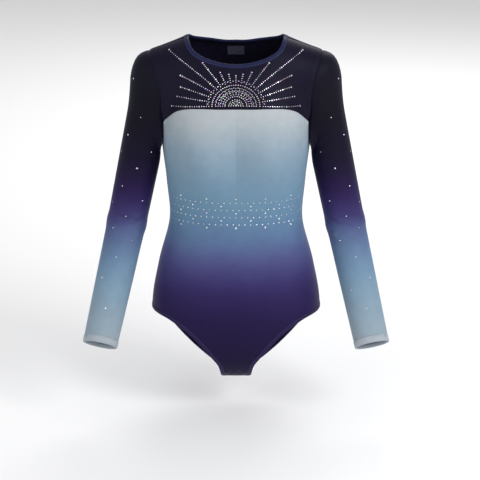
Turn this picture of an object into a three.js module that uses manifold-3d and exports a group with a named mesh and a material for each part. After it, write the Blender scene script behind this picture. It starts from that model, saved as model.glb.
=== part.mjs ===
// A long-sleeved gymnastics leotard, in the shape it takes on a standing wearer.
// Millimetres, +Z up, the front faces -Y, and +X is the wearer's left.
// The origin is on the shoulder line, in the middle of the neck opening, where the shoulders carry it.
import * as THREE from "three";
import { mergeVertices } from "three/addons/utils/BufferGeometryUtils.js";
import Module from "manifold-3d";

const wasm = await Module();
wasm.setup();

// ---------- Lengths down the body, from the shoulder line ----------
const shoulderToArmpit = 188;
const shoulderToWaist = 350;
const waistToHip = 172; // down to where the leg opening crosses the side seam
const hipToCrotch = 139;
const yokeDepth = 118; // to the yoke seam, at the middle of the chest
const frontNeckDepth = 42;
const backNeckDepth = 17;

// ---------- The wearer's trunk ----------
const neckHalf = 90; // half the width of the neck opening
const shoulderHalf = 161; // out to the armhole's highest point
const shoulderRadius = 49;
const girdleInset = 26; // the middle of the shoulder's round end, inwards of the armhole's highest point
const shoulderSlope = 0.33; // fall of the shoulder per millimetre outwards
const chest = { half: 139, front: 99, back: 96 };
const ribs = { half: 131, front: 98, back: 90 };
const waist = { half: 126, front: 88, back: 79 };
const belly = { half: 147, front: 99, back: 94 };
const hip = { half: 160, front: 101, back: 104 };
const chestDome = { front: 172, back: 186 }; // height that the chest closes over in, above the armpit
const bust = { apart: 72, below: 14, rise: 29, spread: 43 }; // below the armpit
const seat = { apart: 66, below: 22, rise: 19, spread: 58 }; // below the hip
const squareness = 2.3; // 2 is an ellipse

// ---------- The wearer's arms ----------
const armInset = 9.5; // the shoulder joint, inwards of the armhole's highest point
const armDrop = 12; // and below the ridge of the shoulder
const upperArm = 273; // shoulder joint to elbow
const foreArm = 241; // elbow to the cuff's edge
const armSpread = 0.205; // sideways lean of both, per millimetre downwards
const elbowBack = 12;
const foreArmLean = 28; // degrees forward of the upper arm
const armRadius = { shoulder: 41, elbow: 37, wrist: 32.5 };

// ---------- Cloth and trimmings ----------
const cloth = 0.8;
const layerGap = 0.45; // between one layer of cloth and the next
const foldGap = 0.8; // between a folded edge and what it holds
const seamDrop = 0.6; // between a panel and the stitched seam allowance behind it
const seamGap = 0.3; // between two panels that are sewn edge to edge
const sleeveEase = 1.1; // the sleeve's edge stands off the bodice, outwards
const trunkClear = 3; // between the sleeve and the side of the trunk, where the arm hangs close to it
const paring = 0.2;
const seamWidth = 6;
const seamThick = 1.2;
const endGap = 1.5; // between the end of a seam allowance and what it stops short of
const bindingWidth = 7.5;
const hemWidth = 7;
const cuffHemWidth = 12;
const bindingCloth = 0.6;
const elasticThick = 0.6;
const neckMargin = 2.4;
const elasticMargin = 1.6; // elastic to the fold that holds it
const liningRows = { first: 1, end: 7, margin: 3 }; // of the front body's grid
const gussetReach = { rows: 6, half: 5 }; // grid rows from the crotch seam, and columns from the middle
const stoneWidth = 2.6;
const stoneHeight = 1;
const stoneLift = 0.6; // over the cloth
const threadHalf = 0.4; // half the width of the thread of glue between stones
const labelGap = 0.9;
const sizeLabel = { width: 32, height: 22, thick: 0.5 };
const careLabel = { width: 28, height: 42, thick: 0.5 };
const careLabelPlace = { across: 0.86, girth: 0.62 }; // on the back's chart, in shares of its size

// ---------- Places that follow from the sizes ----------
const armpitZ = -shoulderToArmpit;
const waistZ = -shoulderToWaist;
const hipZ = waistZ - waistToHip;
const crotchZ = hipZ - hipToCrotch;
const chestFall = 26; // the armhole's highest point, below the origin
const bustZ = armpitZ - bust.below;
const seatZ = hipZ - seat.below;

const V = (x, y, z) => new THREE.Vector3(x, y, z);
const { lerp, clamp, smoothstep, degToRad } = THREE.MathUtils;

// ---------- The wearer's shape, as a field that is 0 on the cloth's outer face ----------
const stations = [
  { z: armpitZ, ...chest },
  { z: lerp(armpitZ, waistZ, 0.5), ...ribs },
  { z: waistZ, ...waist },
  { z: lerp(waistZ, hipZ, 0.5), ...belly },
  { z: hipZ, ...hip },
];

// A size of the trunk at height z, eased through the stations with level ends.
function trunkSize(key, z) {
  if (z >= stations[0].z) return stations[0][key];
  for (let i = 0; i < stations.length - 1; i++) {
    const a = stations[i];
    const b = stations[i + 1];
    if (z >= b.z) {
      const slope = (k) =>
        k < 1 || k > stations.length - 2
          ? 0
          : (stations[k + 1][key] - stations[k - 1][key]) / (stations[k + 1].z - stations[k - 1].z);
      const h = b.z - a.z;
      const t = (z - a.z) / h;
      const t2 = t * t;
      const t3 = t2 * t;
      return (
        a[key] * (2 * t3 - 3 * t2 + 1) +
        b[key] * (3 * t2 - 2 * t3) +
        h * (slope(i) * (t3 - 2 * t2 + t) + slope(i + 1) * (t3 - t2))
      );
    }
  }
  return stations.at(-1)[key];
}

const hill = (x, z, spread) => Math.exp(-(x * x + z * z) / (2 * spread * spread));

function trunkField(p) {
  const level = clamp(p.z, hipZ, armpitZ);
  const front = p.y < 0;
  const swell = front
    ? bust.rise * hill(Math.abs(p.x) - bust.apart, p.z - bustZ, bust.spread)
    : seat.rise * hill(Math.abs(p.x) - seat.apart, p.z - seatZ, seat.spread);
  const depth = trunkSize(front ? "front" : "back", level) + swell;
  const end =
    p.z > armpitZ
      ? (p.z - armpitZ) / (front ? chestDome.front : chestDome.back)
      : Math.max(hipZ - p.z, 0) / hipToCrotch;
  const sum =
    Math.abs(p.x / trunkSize("half", level)) ** squareness +
    Math.abs(p.y / depth) ** squareness +
    end ** squareness;
  return (sum ** (1 / squareness) - 1) * depth;
}

// A limb from a to b, thinning from one radius to the other.
function limbField(p, a, b, ra, rb) {
  const along = b.clone().sub(a);
  const t = clamp(p.clone().sub(a).dot(along) / along.lengthSq(), 0, 1);
  return p.distanceTo(a.clone().addScaledVector(along, t)) - lerp(ra, rb, t);
}

const blend = (a, b, reach) => {
  const h = Math.max(reach - Math.abs(a - b), 0) / reach;
  return Math.min(a, b) - (h * h * reach) / 4;
};
const trunkBlend = 34;
const armBlend = 12;
const pressBlend = 6;
const elbowBlend = 6;
const stubBlend = 24;
const stubLength = 32; // of the arm's root that the bodice lies over

const ridgeZ = (x) => -47 - (Math.abs(x) - 70) * shoulderSlope;
const girdleIn = V(70, 0, ridgeZ(70));
const girdleOut = V(shoulderHalf - girdleInset, 0, ridgeZ(shoulderHalf - girdleInset));
const shoulder = V(shoulderHalf - armInset, 0, ridgeZ(shoulderHalf) - armDrop);
const stubEnd = shoulder.clone().add(V(0, 0, -stubLength));
const elbow = shoulder.clone().add(V(armSpread * upperArm, elbowBack, -upperArm));
const lean = degToRad(foreArmLean);
const wrist = elbow
  .clone()
  .add(V(armSpread * foreArm, -Math.sin(lean) * foreArm, -Math.cos(lean) * foreArm).setLength(foreArm));

const mirrored = (p) => V(Math.abs(p.x), p.y, p.z);
const girdleField = (p) => limbField(mirrored(p), girdleIn, girdleOut, shoulderRadius, shoulderRadius);
const stubField = (p) => limbField(mirrored(p), shoulder, stubEnd, armRadius.shoulder, armRadius.shoulder);
const bodiceField = (p) => blend(blend(trunkField(p), girdleField(p), trunkBlend), stubField(p), stubBlend);
const limbsField = (p) =>
  blend(
    limbField(p, shoulder, elbow, armRadius.shoulder, armRadius.elbow),
    limbField(p, elbow, wrist, armRadius.elbow, armRadius.wrist),
    elbowBlend,
  );
// A sleeve lies flat against the side of the trunk, where the arm hangs close to it.
const offTrunk = (field, p) => -blend(-field, trunkField(p) - trunkClear, pressBlend);
const armField = (p) => offTrunk(limbsField(p), p);
const sleeveField = (p) => offTrunk(blend(limbsField(p), girdleField(p), armBlend), p);

// The point where a ray from inside leaves the field's shape.
function cast(field, from, direction) {
  let near = 0;
  let far = 420;
  for (let i = 0; i < 34; i++) {
    const middle = (near + far) / 2;
    if (field(from.clone().addScaledVector(direction, middle)) < 0) near = middle;
    else far = middle;
  }
  return from.clone().addScaledVector(direction, near);
}

function gradient(field, p) {
  const e = 0.5;
  const slope = (step) => field(p.clone().add(step)) - field(p.clone().sub(step));
  return V(slope(V(e, 0, 0)), slope(V(0, e, 0)), slope(V(0, 0, e))).divideScalar(2 * e);
}
const outward = (field, p) => gradient(field, p).normalize();

// The point moved along the field's slope until it lies on the face.
function settled(field, p) {
  const q = p.clone();
  for (let i = 0; i < 5; i++) {
    const g = gradient(field, q);
    q.addScaledVector(g, -field(q) / g.lengthSq());
  }
  return q;
}

// ---------- The bodice's chart ----------
// across is the angle from the middle to the side. girth runs from the shoulder line (-1) to the armpit (0),
// the hip (1) and the crotch (2). side is -1 on the front and 1 on the back.
const quarter = Math.PI / 2;

function fromChart({ across, girth }, side) {
  const tilt = (girth < 0 ? girth : Math.max(girth - 1, 0)) * quarter;
  const from = V(0, 0, lerp(armpitZ, hipZ, clamp(girth, 0, 1)));
  const level = Math.cos(across);
  return cast(bodiceField, from, V(Math.sin(across), side * level * Math.cos(tilt), -level * Math.sin(tilt)));
}

function toChart(p) {
  const depth = Math.abs(p.y);
  if (p.z > armpitZ) {
    const up = p.z - armpitZ;
    return { across: Math.atan2(p.x, Math.hypot(depth, up)), girth: -Math.atan2(up, depth) / quarter };
  }
  if (p.z < hipZ) {
    const down = hipZ - p.z;
    return { across: Math.atan2(p.x, Math.hypot(depth, down)), girth: 1 + Math.atan2(down, depth) / quarter };
  }
  return { across: Math.atan2(p.x, depth), girth: (armpitZ - p.z) / (armpitZ - hipZ) };
}

// The point of the front or the back that is seen at x, z from straight ahead.
const facing = (x, z, side) => cast(bodiceField, V(x, 0, z), V(0, side, 0));

// ---------- Seam lines, each a list of points that every piece on it shares ----------
const spaced = (points, count, closed = false) =>
  new THREE.CatmullRomCurve3(points, closed, "centripetal").getSpacedPoints(count);

// The armhole of the wearer's left, from its highest point down the front and up the back.
const armholeTop = V(shoulderHalf, 0, -chestFall);
const armholeBottom = V(chest.half, 0, armpitZ);
const inShare = (share) => lerp(-chestFall, armpitZ, share);
const armholeHalf = (side) => {
  const scoop = side < 0 ? 1 : 0.75; // the back is cut less hollow
  return [
    armholeTop,
    V(shoulderHalf - 14 * scoop, side * 40, inShare(0.2)),
    V(shoulderHalf - 20.5 * scoop, side * 50, inShare(0.46)),
    V(chest.half + 1.5, side * 46, inShare(0.72)),
    V(chest.half + 1, side * 27, inShare(0.93)),
    armholeBottom,
  ];
};
const besideYoke = 9; // steps of each half armhole above the yoke seam
const belowYoke = 3;
const armholeSide = (side) =>
  spaced(armholeHalf(side), besideYoke + belowYoke).map((p) => settled(bodiceField, p));
const armholeFront = armholeSide(-1);
const armholeBack = armholeSide(1);
const armhole = [...armholeFront, ...armholeBack.slice(1, -1).reverse()];

const acrossSteps = 10; // steps of half a yoke seam
const neckSteps = 7; // of those, the ones that meet the neckline
const laid = (points, side) => points.map((p) => fromChart(toChart(p), side));
const shoulderNeck = fromChart({ across: Math.atan2(neckHalf, shoulderToArmpit), girth: -1 }, -1);
const neckPoint = V(shoulderNeck.x, 0, shoulderNeck.z);

// Half a neckline, from its lowest point to the shoulder.
const neckCut = [[0, 1], [0.43, 0.87], [0.7, 0.66], [0.89, 0.4]]; // shares of its half width and of its depth
function neckline(side) {
  const depth = neckPoint.z + (side < 0 ? frontNeckDepth : backNeckDepth);
  const points = neckCut.map(([reach, fall]) => facing(neckHalf * reach, neckPoint.z - depth * fall, side));
  return laid(spaced([...points, neckPoint], neckSteps), side);
}

const shoulderSeam = spaced([neckPoint, armholeTop], acrossSteps - neckSteps).map((p) =>
  cast(bodiceField, V(p.x, 0, ridgeZ(p.x)), V(0, 0, 1)),
);
shoulderSeam[shoulderSeam.length - 1] = armholeTop;

// Half a yoke seam, from the middle to the armhole: level over the chest, then falling to the armpit.
function yokeSeam(side, armholePoints) {
  const end = armholePoints[besideYoke];
  const fall = (share) => lerp(-yokeDepth, end.z, share ** 6);
  const points = [0, 0.25, 0.5, 0.7, 0.84].map((share) => facing(end.x * share, fall(share), side));
  const line = laid(spaced([...points, end], acrossSteps), side);
  line[line.length - 1] = end;
  return line;
}

// Half a leg opening on the wearer's left, from the side seam to the crotch seam.
const legRows = 10;
const crotchHalf = 21;
// Shares of the hip's half width and of the fall from hip to crotch. The front is cut higher than the back.
const legCut = {
  "-1": [[0.84, 0.04], [0.72, 0.1], [0.6, 0.19], [0.48, 0.31], [0.38, 0.44], [0.28, 0.59], [0.2, 0.74]],
  1: [[0.93, 0.13], [0.85, 0.28], [0.74, 0.46], [0.6, 0.64], [0.45, 0.79], [0.32, 0.89], [0.22, 0.95]],
};
function legLine(side) {
  const points = legCut[side].map(([reach, fall]) =>
    facing(hip.half * reach, lerp(hipZ, crotchZ, fall), side),
  );
  const bottom = fromChart({ across: Math.atan2(crotchHalf, hipToCrotch), girth: 2 }, side);
  return laid(spaced([V(hip.half, 0, hipZ), ...points, bottom], legRows), side);
}

// ---------- Solids ----------
// A closed body from rings of points. Each ring is a loop of the same length.
function bodyFromRings(rings, closed) {
  const n = rings[0].length;
  const positions = rings.flat().flatMap((p) => [p.x, p.y, p.z]);
  const index = [];
  const last = closed ? rings.length : rings.length - 1;
  for (let i = 0; i < last; i++) {
    for (let k = 0; k < n; k++) {
      const a = i * n + k;
      const b = i * n + ((k + 1) % n);
      const c = ((i + 1) % rings.length) * n + ((k + 1) % n);
      const d = ((i + 1) % rings.length) * n + k;
      index.push(a, b, c, a, c, d);
    }
  }
  if (!closed) {
    const end = (rings.length - 1) * n;
    const flat = THREE.ShapeUtils.triangulateShape(capOutline(rings[0]), []);
    const flatEnd = THREE.ShapeUtils.triangulateShape(capOutline(rings.at(-1)), []);
    flat.forEach(([a, b, c]) => index.push(a, c, b));
    flatEnd.forEach(([a, b, c]) => index.push(end + a, end + b, end + c));
  }
  return facingOut(positions, index);
}

// A ring's outline in its own plane, for its end cap.
function capOutline(ring) {
  const origin = ring[0];
  const u = ring[1].clone().sub(origin).normalize();
  const centre = ring.reduce((sum, p) => sum.add(p), V(0, 0, 0)).divideScalar(ring.length);
  const out = ring[ring.length - 1].clone().sub(origin);
  const normal = u.clone().cross(out.lengthSq() ? out : centre.sub(origin)).normalize();
  const v = normal.cross(u);
  return ring.map((p) => {
    const q = p.clone().sub(origin);
    return new THREE.Vector2(q.dot(u), q.dot(v));
  });
}

function facingOut(positions, index) {
  const geometry = new THREE.BufferGeometry();
  geometry.setAttribute("position", new THREE.Float32BufferAttribute(positions, 3));
  const p = (i) => V(...positions.slice(3 * i, 3 * i + 3));
  let volume = 0;
  for (let i = 0; i < index.length; i += 3) {
    volume += p(index[i]).dot(p(index[i + 1]).cross(p(index[i + 2])));
  }
  if (volume < 0) {
    for (let i = 0; i < index.length; i += 3) {
      [index[i + 1], index[i + 2]] = [index[i + 2], index[i + 1]];
    }
  }
  geometry.setIndex(index);
  return geometry;
}

// The outward normal at each point of a grid of rows, by its neighbours. wraps: each row is a closed loop.
function gridNormals(grid, wraps = false) {
  return grid.map((row, j) =>
    row.map((_, i) => {
      const n = row.length;
      const left = row[wraps ? (i + n - 1) % n : Math.max(i - 1, 0)];
      const right = row[wraps ? (i + 1) % n : Math.min(i + 1, n - 1)];
      const above = grid[Math.max(j - 1, 0)][i];
      const below = grid[Math.min(j + 1, grid.length - 1)][i];
      return above.clone().sub(below).cross(right.clone().sub(left)).normalize();
    }),
  );
}

const fieldNormals = (grid, field) => grid.map((row) => row.map((p) => outward(field, p)));

// A sheet of cloth between two depths below a grid's face.
function sheetBody(grid, normals, top, bottom, wraps = false) {
  const rows = grid.length;
  const columns = grid[0].length;
  const lowered = (j, depth) => grid[j].map((p, i) => p.clone().addScaledVector(normals[j][i], -depth));
  const layer = (depth) => grid.map((_, j) => lowered(j, depth));
  const positions = [...layer(top).flat(), ...layer(bottom).flat()].flatMap((p) => [p.x, p.y, p.z]);
  const at = (under, j, i) => under * rows * columns + j * columns + (i % columns);
  const index = [];
  const cells = wraps ? columns : columns - 1;
  // The two halves of a panel are split along opposite diagonals, so that they mirror each other.
  const quad = (a, b, c, d, turned = false) =>
    turned ? index.push(a, b, d, b, c, d) : index.push(a, b, c, a, c, d);
  for (let j = 0; j < rows - 1; j++) {
    for (let i = 0; i < cells; i++) {
      const turned = i < cells / 2;
      quad(at(0, j, i), at(0, j + 1, i), at(0, j + 1, i + 1), at(0, j, i + 1), turned);
      quad(at(1, j, i), at(1, j, i + 1), at(1, j + 1, i + 1), at(1, j + 1, i), turned);
    }
  }
  for (let i = 0; i < cells; i++) {
    quad(at(0, 0, i), at(0, 0, i + 1), at(1, 0, i + 1), at(1, 0, i));
    quad(at(0, rows - 1, i), at(1, rows - 1, i), at(1, rows - 1, i + 1), at(0, rows - 1, i + 1));
  }
  if (!wraps) {
    for (let j = 0; j < rows - 1; j++) {
      quad(at(0, j, 0), at(1, j, 0), at(1, j + 1, 0), at(0, j + 1, 0));
      const e = columns - 1;
      quad(at(0, j, e), at(0, j + 1, e), at(1, j + 1, e), at(1, j, e));
    }
  }
  return facingOut(positions, index);
}

// Draws each edge of a grid in by its share of the seam's gap.
function trimmed(grid, { top = true, bottom = true, sides = true } = {}) {
  const cut = seamGap / 2;
  const step = (from, to) => to.clone().sub(from).setLength(cut);
  const out = grid.map((row) => row.map((p) => p.clone()));
  const last = grid.length - 1;
  grid.forEach((row, j) =>
    row.forEach((p, i) => {
      const end = row.length - 1;
      if (top && j === 0) out[j][i].add(step(p, grid[1][i]));
      if (bottom && j === last) out[j][i].add(step(p, grid[last - 1][i]));
      if (sides && i === 0) out[j][i].add(step(p, row[1]));
      if (sides && i === end) out[j][i].add(step(p, row[end - 1]));
    }),
  );
  return out;
}

// A strip along a line on the face. profile lists [distance inwards from the line, height above the face].
// inner(k) is a point on that side of the line's point k.
function strip(line, inner, skin, profile, closed = false) {
  const { field } = skin;
  const n = line.length;
  const rings = line.map((p, k) => {
    const before = line[closed ? (k + n - 1) % n : Math.max(k - 1, 0)];
    const after = line[closed ? (k + 1) % n : Math.min(k + 1, n - 1)];
    const along = after.clone().sub(before).normalize();
    const across = along.cross(outward(field, p)).normalize();
    if (across.dot(inner(k).clone().sub(p)) < 0) across.negate();
    return profile.map(([distance, height]) => {
      const level = p.clone().addScaledVector(across, distance);
      const spot = skin.ground(settled(field, level)) ?? level;
      return spot.clone().addScaledVector(outward(field, spot), height);
    });
  });
  return bodyFromRings(rings, closed);
}

// The outer faces of some panels. ground puts a point on them, or finds nothing beyond an edge.
const rayReach = 8;
function skinOf(grids, field, wraps) {
  const faces = grids.map((grid) => {
    const body = sheetBody(grid, grid.map((row) => row.map(() => V(0, 0, 0))), 0, 0, wraps);
    return new THREE.Mesh(body, new THREE.MeshBasicMaterial({ side: THREE.DoubleSide }));
  });
  const ground = (p) => {
    const normal = outward(field, p);
    const from = p.clone().addScaledVector(normal, rayReach);
    const ray = new THREE.Raycaster(from, normal.negate(), 0, 2 * rayReach);
    const hits = ray.intersectObjects(faces, false);
    return hits[0]?.point;
  };
  return { field, ground };
}

const flatProfile = (near, far, low, high) => [
  [near, high],
  [far, high],
  [far, low],
  [near, low],
];

// Cloth folded round an edge, with room inside for the panel and the elastic.
const foldRoom = cloth + elasticThick + 3.8 * foldGap;
const foldProfile = (width, extra = 0) => [
  [-layerGap - bindingCloth, foldGap + bindingCloth],
  [width, foldGap + bindingCloth],
  [width, foldGap - extra],
  [extra - layerGap, foldGap - extra],
  [extra - layerGap, extra - foldRoom],
  [width, extra - foldRoom],
  [width, -foldRoom - bindingCloth],
  [-layerGap - bindingCloth, -foldRoom - bindingCloth],
];
const elasticTop = -(cloth + foldGap);
const elasticProfile = (width, margin = elasticMargin) =>
  flatProfile(margin, width - margin, elasticTop - elasticThick, elasticTop);
const overSeam = [
  [-seamWidth / 2, -(cloth + seamDrop)],
  [0, -(cloth + seamDrop)],
  [seamWidth / 2, -(cloth + seamDrop)],
  [seamWidth / 2, -(cloth + seamDrop + seamThick)],
  [0, -(cloth + seamDrop + seamThick)],
  [-seamWidth / 2, -(cloth + seamDrop + seamThick)],
];

// A closed line with a point added in the middle of every step.
const halved = (line) => line.flatMap((p, k) => [p, p.clone().lerp(line[(k + 1) % line.length], 0.5)]);

// The stretch of a line that starts and ends this far from its ends.
function between(line, start, end) {
  const length = line.slice(1).reduce((sum, p, i) => sum + p.distanceTo(line[i]), 0);
  const stops = [start, length - end];
  const out = [];
  let run = 0;
  for (let i = 0; i < line.length - 1; i++) {
    const step = line[i].distanceTo(line[i + 1]);
    if (run > stops[0] && run < stops[1]) out.push(line[i]);
    for (const stop of stops) {
      if (stop >= run && stop < run + step) out.push(line[i].clone().lerp(line[i + 1], (stop - run) / step));
    }
    run += step;
  }
  return out;
}

// ---------- Panels ----------
const flipX = (p) => V(-p.x, p.y, p.z);
const bothHalves = (half) => half.map((row) => [...row.slice(1).reverse().map(flipX), ...row]);

// A yoke, from the neck and shoulders (top row) down to the yoke seam, drawn from its four edges.
function yokeGrid(side, armholePoints) {
  const top = [...neckline(side), ...shoulderSeam.slice(1)];
  const bottom = yokeSeam(side, armholePoints);
  const outer = armholePoints.slice(0, besideYoke + 1);
  const chart = (p) => {
    const { across, girth } = toChart(p);
    return new THREE.Vector2(across, girth);
  };
  const [t, b, o] = [top, bottom, outer].map((line) => line.map(chart));
  const middle = (share) => t[0].clone().lerp(b[0], share);
  const half = [];
  for (let j = 0; j <= besideYoke; j++) {
    const v = j / besideYoke;
    const row = [];
    for (let i = 0; i <= acrossSteps; i++) {
      const u = i / acrossSteps;
      const spot = t[i].clone().multiplyScalar(1 - v);
      spot.addScaledVector(b[i], v).addScaledVector(middle(v), 1 - u).addScaledVector(o[j], u);
      const corners = t[0].clone().lerp(b[0], v).multiplyScalar(1 - u);
      corners.addScaledVector(t[acrossSteps].clone().lerp(b[acrossSteps], v), u);
      spot.sub(corners);
      const p = fromChart({ across: spot.x, girth: spot.y }, side);
      const edge = fromChart({ across: o[j].x, girth: o[j].y }, side);
      p.addScaledVector(outer[j].clone().sub(edge), u ** 4);
      if (j === 0) p.copy(top[i]);
      row.push(p);
    }
    half.push(row);
  }
  half[0][acrossSteps].copy(armholeTop);
  return bothHalves(half);
}

// A body panel, from the yoke seam and armholes (top row) to the crotch seam.
const sideRows = 9;
const hollow = { down: 0.35, across: [0.4, 0.8] }; // where the armhole's hollow reaches into the panel
function bodyGrid(side, armholePoints) {
  const top = [...yokeSeam(side, armholePoints), ...armholePoints.slice(besideYoke + 1)];
  const topChart = top.map(toChart);
  topChart[topChart.length - 1] = { across: quarter, girth: 0 };
  const leg = legLine(side).map(toChart);
  const half = [];
  for (let j = 0; j <= sideRows + legRows; j++) {
    const beyond = j - sideRows;
    const row = top.map((edge, i) => {
      const start = topChart[i];
      const share = start.across / quarter;
      const down = j / sideRows;
      const spot =
        beyond <= 0
          ? { across: start.across, girth: lerp(start.girth, 1, down) }
          : { across: share * leg[beyond].across, girth: leg[beyond].girth };
      const p = fromChart(spot, side);
      if (beyond < 0) {
        const off = edge.clone().sub(fromChart(start, side));
        const near = (1 - smoothstep(down, 0, hollow.down)) * smoothstep(share, ...hollow.across);
        p.addScaledVector(off, near);
      }
      return p;
    });
    half.push(row);
  }
  half[0] = top.map((p) => p.clone());
  return bothHalves(half);
}

// ---------- Sleeve of the wearer's left ----------
const capRings = 5;
const upperRings = 4;
const lowerRings = 6;
const underArm = 26; // length of the underarm seam that the sleeve head takes
const headHalf = { top: (armholeTop.z - armholeBottom.z) / 2, end: armRadius.shoulder };
const settleBy = 0.6; // share of the sleeve head after which it lies on the arm

function sleeveFrames() {
  const down = elbow.clone().sub(shoulder).normalize();
  const square = Math.acos(-down.x); // turn from an upright ring to one square to the arm
  const frames = [];
  for (let k = 0; k <= capRings; k++) {
    const w = k / capRings;
    const turn = w * (Math.PI - square);
    const out = V(Math.sin(turn), 0, Math.cos(turn));
    const centre = armholeBottom
      .clone()
      .addScaledVector(down, underArm * w)
      .addScaledVector(out, lerp(headHalf.top, headHalf.end, w));
    frames.push({ centre, out, front: V(0, -1, 0), w });
  }
  const start = frames.at(-1).centre.clone();
  start.x = shoulder.x + ((start.z - shoulder.z) / down.z) * down.x;
  start.y = shoulder.y + ((start.z - shoulder.z) / down.z) * down.y;
  const path = new THREE.CatmullRomCurve3(
    [start, start.clone().lerp(elbow, 0.45), elbow, elbow.clone().lerp(wrist, 0.5), wrist],
    false,
    "centripetal",
  );
  for (let k = 1; k <= upperRings + lowerRings; k++) {
    const u = k / (upperRings + lowerRings);
    const along = path.getTangentAt(u);
    const out = V(1, 0, 0).addScaledVector(along, -along.x).normalize();
    const front = out.clone().cross(along).negate().normalize();
    frames.push({ centre: path.getPointAt(u), out, front, w: 1 });
  }
  return frames;
}

function sleeveGrid() {
  const frames = sleeveFrames();
  const first = frames[0];
  const edge = armhole.map((p) => p.clone().add(V(sleeveEase, 0, 0)));
  const angles = edge.map((p) => {
    const q = p.clone().sub(first.centre);
    return Math.atan2(q.dot(first.front), q.dot(first.out));
  });
  const spoke = (frame, angle) =>
    cast(
      frame.w < 1 ? sleeveField : armField,
      frame.centre,
      frame.out.clone().multiplyScalar(Math.cos(angle)).addScaledVector(frame.front, Math.sin(angle)),
    );
  return frames.map((frame, j) =>
    edge.map((p, i) => {
      const turned = angles[i] < 0 && i > 0 ? angles[i] + 2 * Math.PI : angles[i];
      const even = (2 * Math.PI * i) / edge.length;
      const angle = lerp(turned, even, smoothstep(j, 0, capRings));
      const off = p.clone().sub(spoke(first, angles[i]));
      const spot = spoke(frame, angle).addScaledVector(off, (1 - frame.w) ** 2);
      if (frame.w === 1) return spot;
      return spot.clone().lerp(settled(sleeveField, spot), smoothstep(frame.w, 0, settleBy));
    }),
  );
}

const grids = {
  frontYoke: yokeGrid(-1, armholeFront),
  backYoke: yokeGrid(1, armholeBack),
  frontBody: bodyGrid(-1, armholeFront),
  backBody: bodyGrid(1, armholeBack),
  sleeve: sleeveGrid(),
};
const bodicePanels = [grids.frontYoke, grids.backYoke, grids.frontBody, grids.backBody];
const bodiceSkin = skinOf(bodicePanels, bodiceField, false);
const armSkin = skinOf([grids.sleeve], armField, true);

// ---------- Stones ----------
// A run of stones along a line on the front: wide at each stone, narrow between.
function stoneRun(points, half) {
  const rings = points.map((p, k) => {
    const along = points[Math.min(k + 1, points.length - 1)].clone().sub(points[Math.max(k - 1, 0)]);
    const normal = outward(bodiceField, p);
    const across = along.cross(normal).setLength(half(k));
    return [1, -1].flatMap((turn) => {
      const level = settled(bodiceField, p.clone().addScaledVector(across, turn));
      const spot = bodiceSkin.ground(level) ?? level;
      const foot = spot.clone().addScaledVector(normal, stoneLift);
      const top = spot.clone().addScaledVector(normal, stoneLift + stoneHeight);
      return turn > 0 ? [foot, top] : [top, foot];
    });
  });
  return bodyFromRings(rings, false);
}

const solidOf = (geometry) => {
  const merged = mergeVertices(geometry, 1e-4);
  return new wasm.Manifold(
    new wasm.Mesh({
      numProp: 3,
      vertProperties: merged.attributes.position.array,
      triVerts: new Uint32Array(merged.index.array),
    }),
  );
};

function geometryOf(solid) {
  const mesh = solid.getMesh();
  return facingOut([...mesh.vertProperties], [...mesh.triVerts]);
}

// The sunburst: rays of stones that spread over the yoke from the middle of its seam, tied by two arcs.
const burst = {
  lift: 7, // the centre above the yoke seam
  hub: 9,
  hubHalf: 3,
  start: 3.6, // of each ray, from the centre
  rays: [117, 110, 108, 122, 140, 105, 80, 69, 67], // length of each ray, from level to upright
  arcs: [20, 44],
  rise: 0.82, // the upright rays' reach, seen from ahead
  droop: 0.0007, // fall of the level rays towards the armholes, per square millimetre
  raySteps: 5,
};
const burstPoint = (angle, reach) => {
  const x = Math.cos(angle) * reach;
  const z = Math.sin(angle) * reach * burst.rise - x * x * burst.droop;
  return facing(x, z - yokeDepth + burst.lift, -1);
};

function sunburst() {
  const last = 2 * (burst.rays.length - 1);
  const rayAngles = Array.from({ length: last + 1 }, (_, i) => (i * Math.PI) / last);
  const ray = (angle, i) => {
    const length = burst.rays[Math.min(i, last - i)];
    const points = Array.from({ length: burst.raySteps + 1 }, (_, k) =>
      burstPoint(angle, lerp(burst.start, length, k / burst.raySteps)),
    );
    return stoneRun(points, () => stoneWidth / 2);
  };
  const arc = (reach) => stoneRun(rayAngles.map((angle) => burstPoint(angle, reach)), () => stoneWidth / 2);
  const hubLine = [burstPoint(0, burst.hub), burstPoint(0, 0), burstPoint(Math.PI, burst.hub)];
  const hub = stoneRun(hubLine, () => burst.hubHalf);
  const bodies = [hub, ...rayAngles.map(ray), ...burst.arcs.map(arc)].map(solidOf);
  return geometryOf(bodies.reduce((sum, body) => sum.add(body)));
}

// The waist's rows of stones, from side seam to side seam.
const waistRows = { first: 296, apart: 14.7, pitch: 11, count: 4, reach: 0.88 };
const quarterGirth = 1.37; // the cloth from the middle to the side seam, per millimetre of half width

function waistRow(row) {
  const z = -waistRows.first - row * waistRows.apart;
  const girth = (armpitZ - z) / (armpitZ - hipZ);
  const room = trunkSize("half", z) * quarterGirth;
  const stones = 2 * Math.floor((room * waistRows.reach) / waistRows.pitch) - (row % 2);
  const spread = (stones * waistRows.pitch) / 2 / room;
  const points = Array.from({ length: 2 * stones + 1 }, (_, k) => {
    const across = lerp(-spread, spread, k / (2 * stones));
    return fromChart({ across: across * quarter, girth }, -1);
  });
  return stoneRun(points, (k) => (k % 2 ? stoneWidth / 2 : threadHalf));
}

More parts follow.
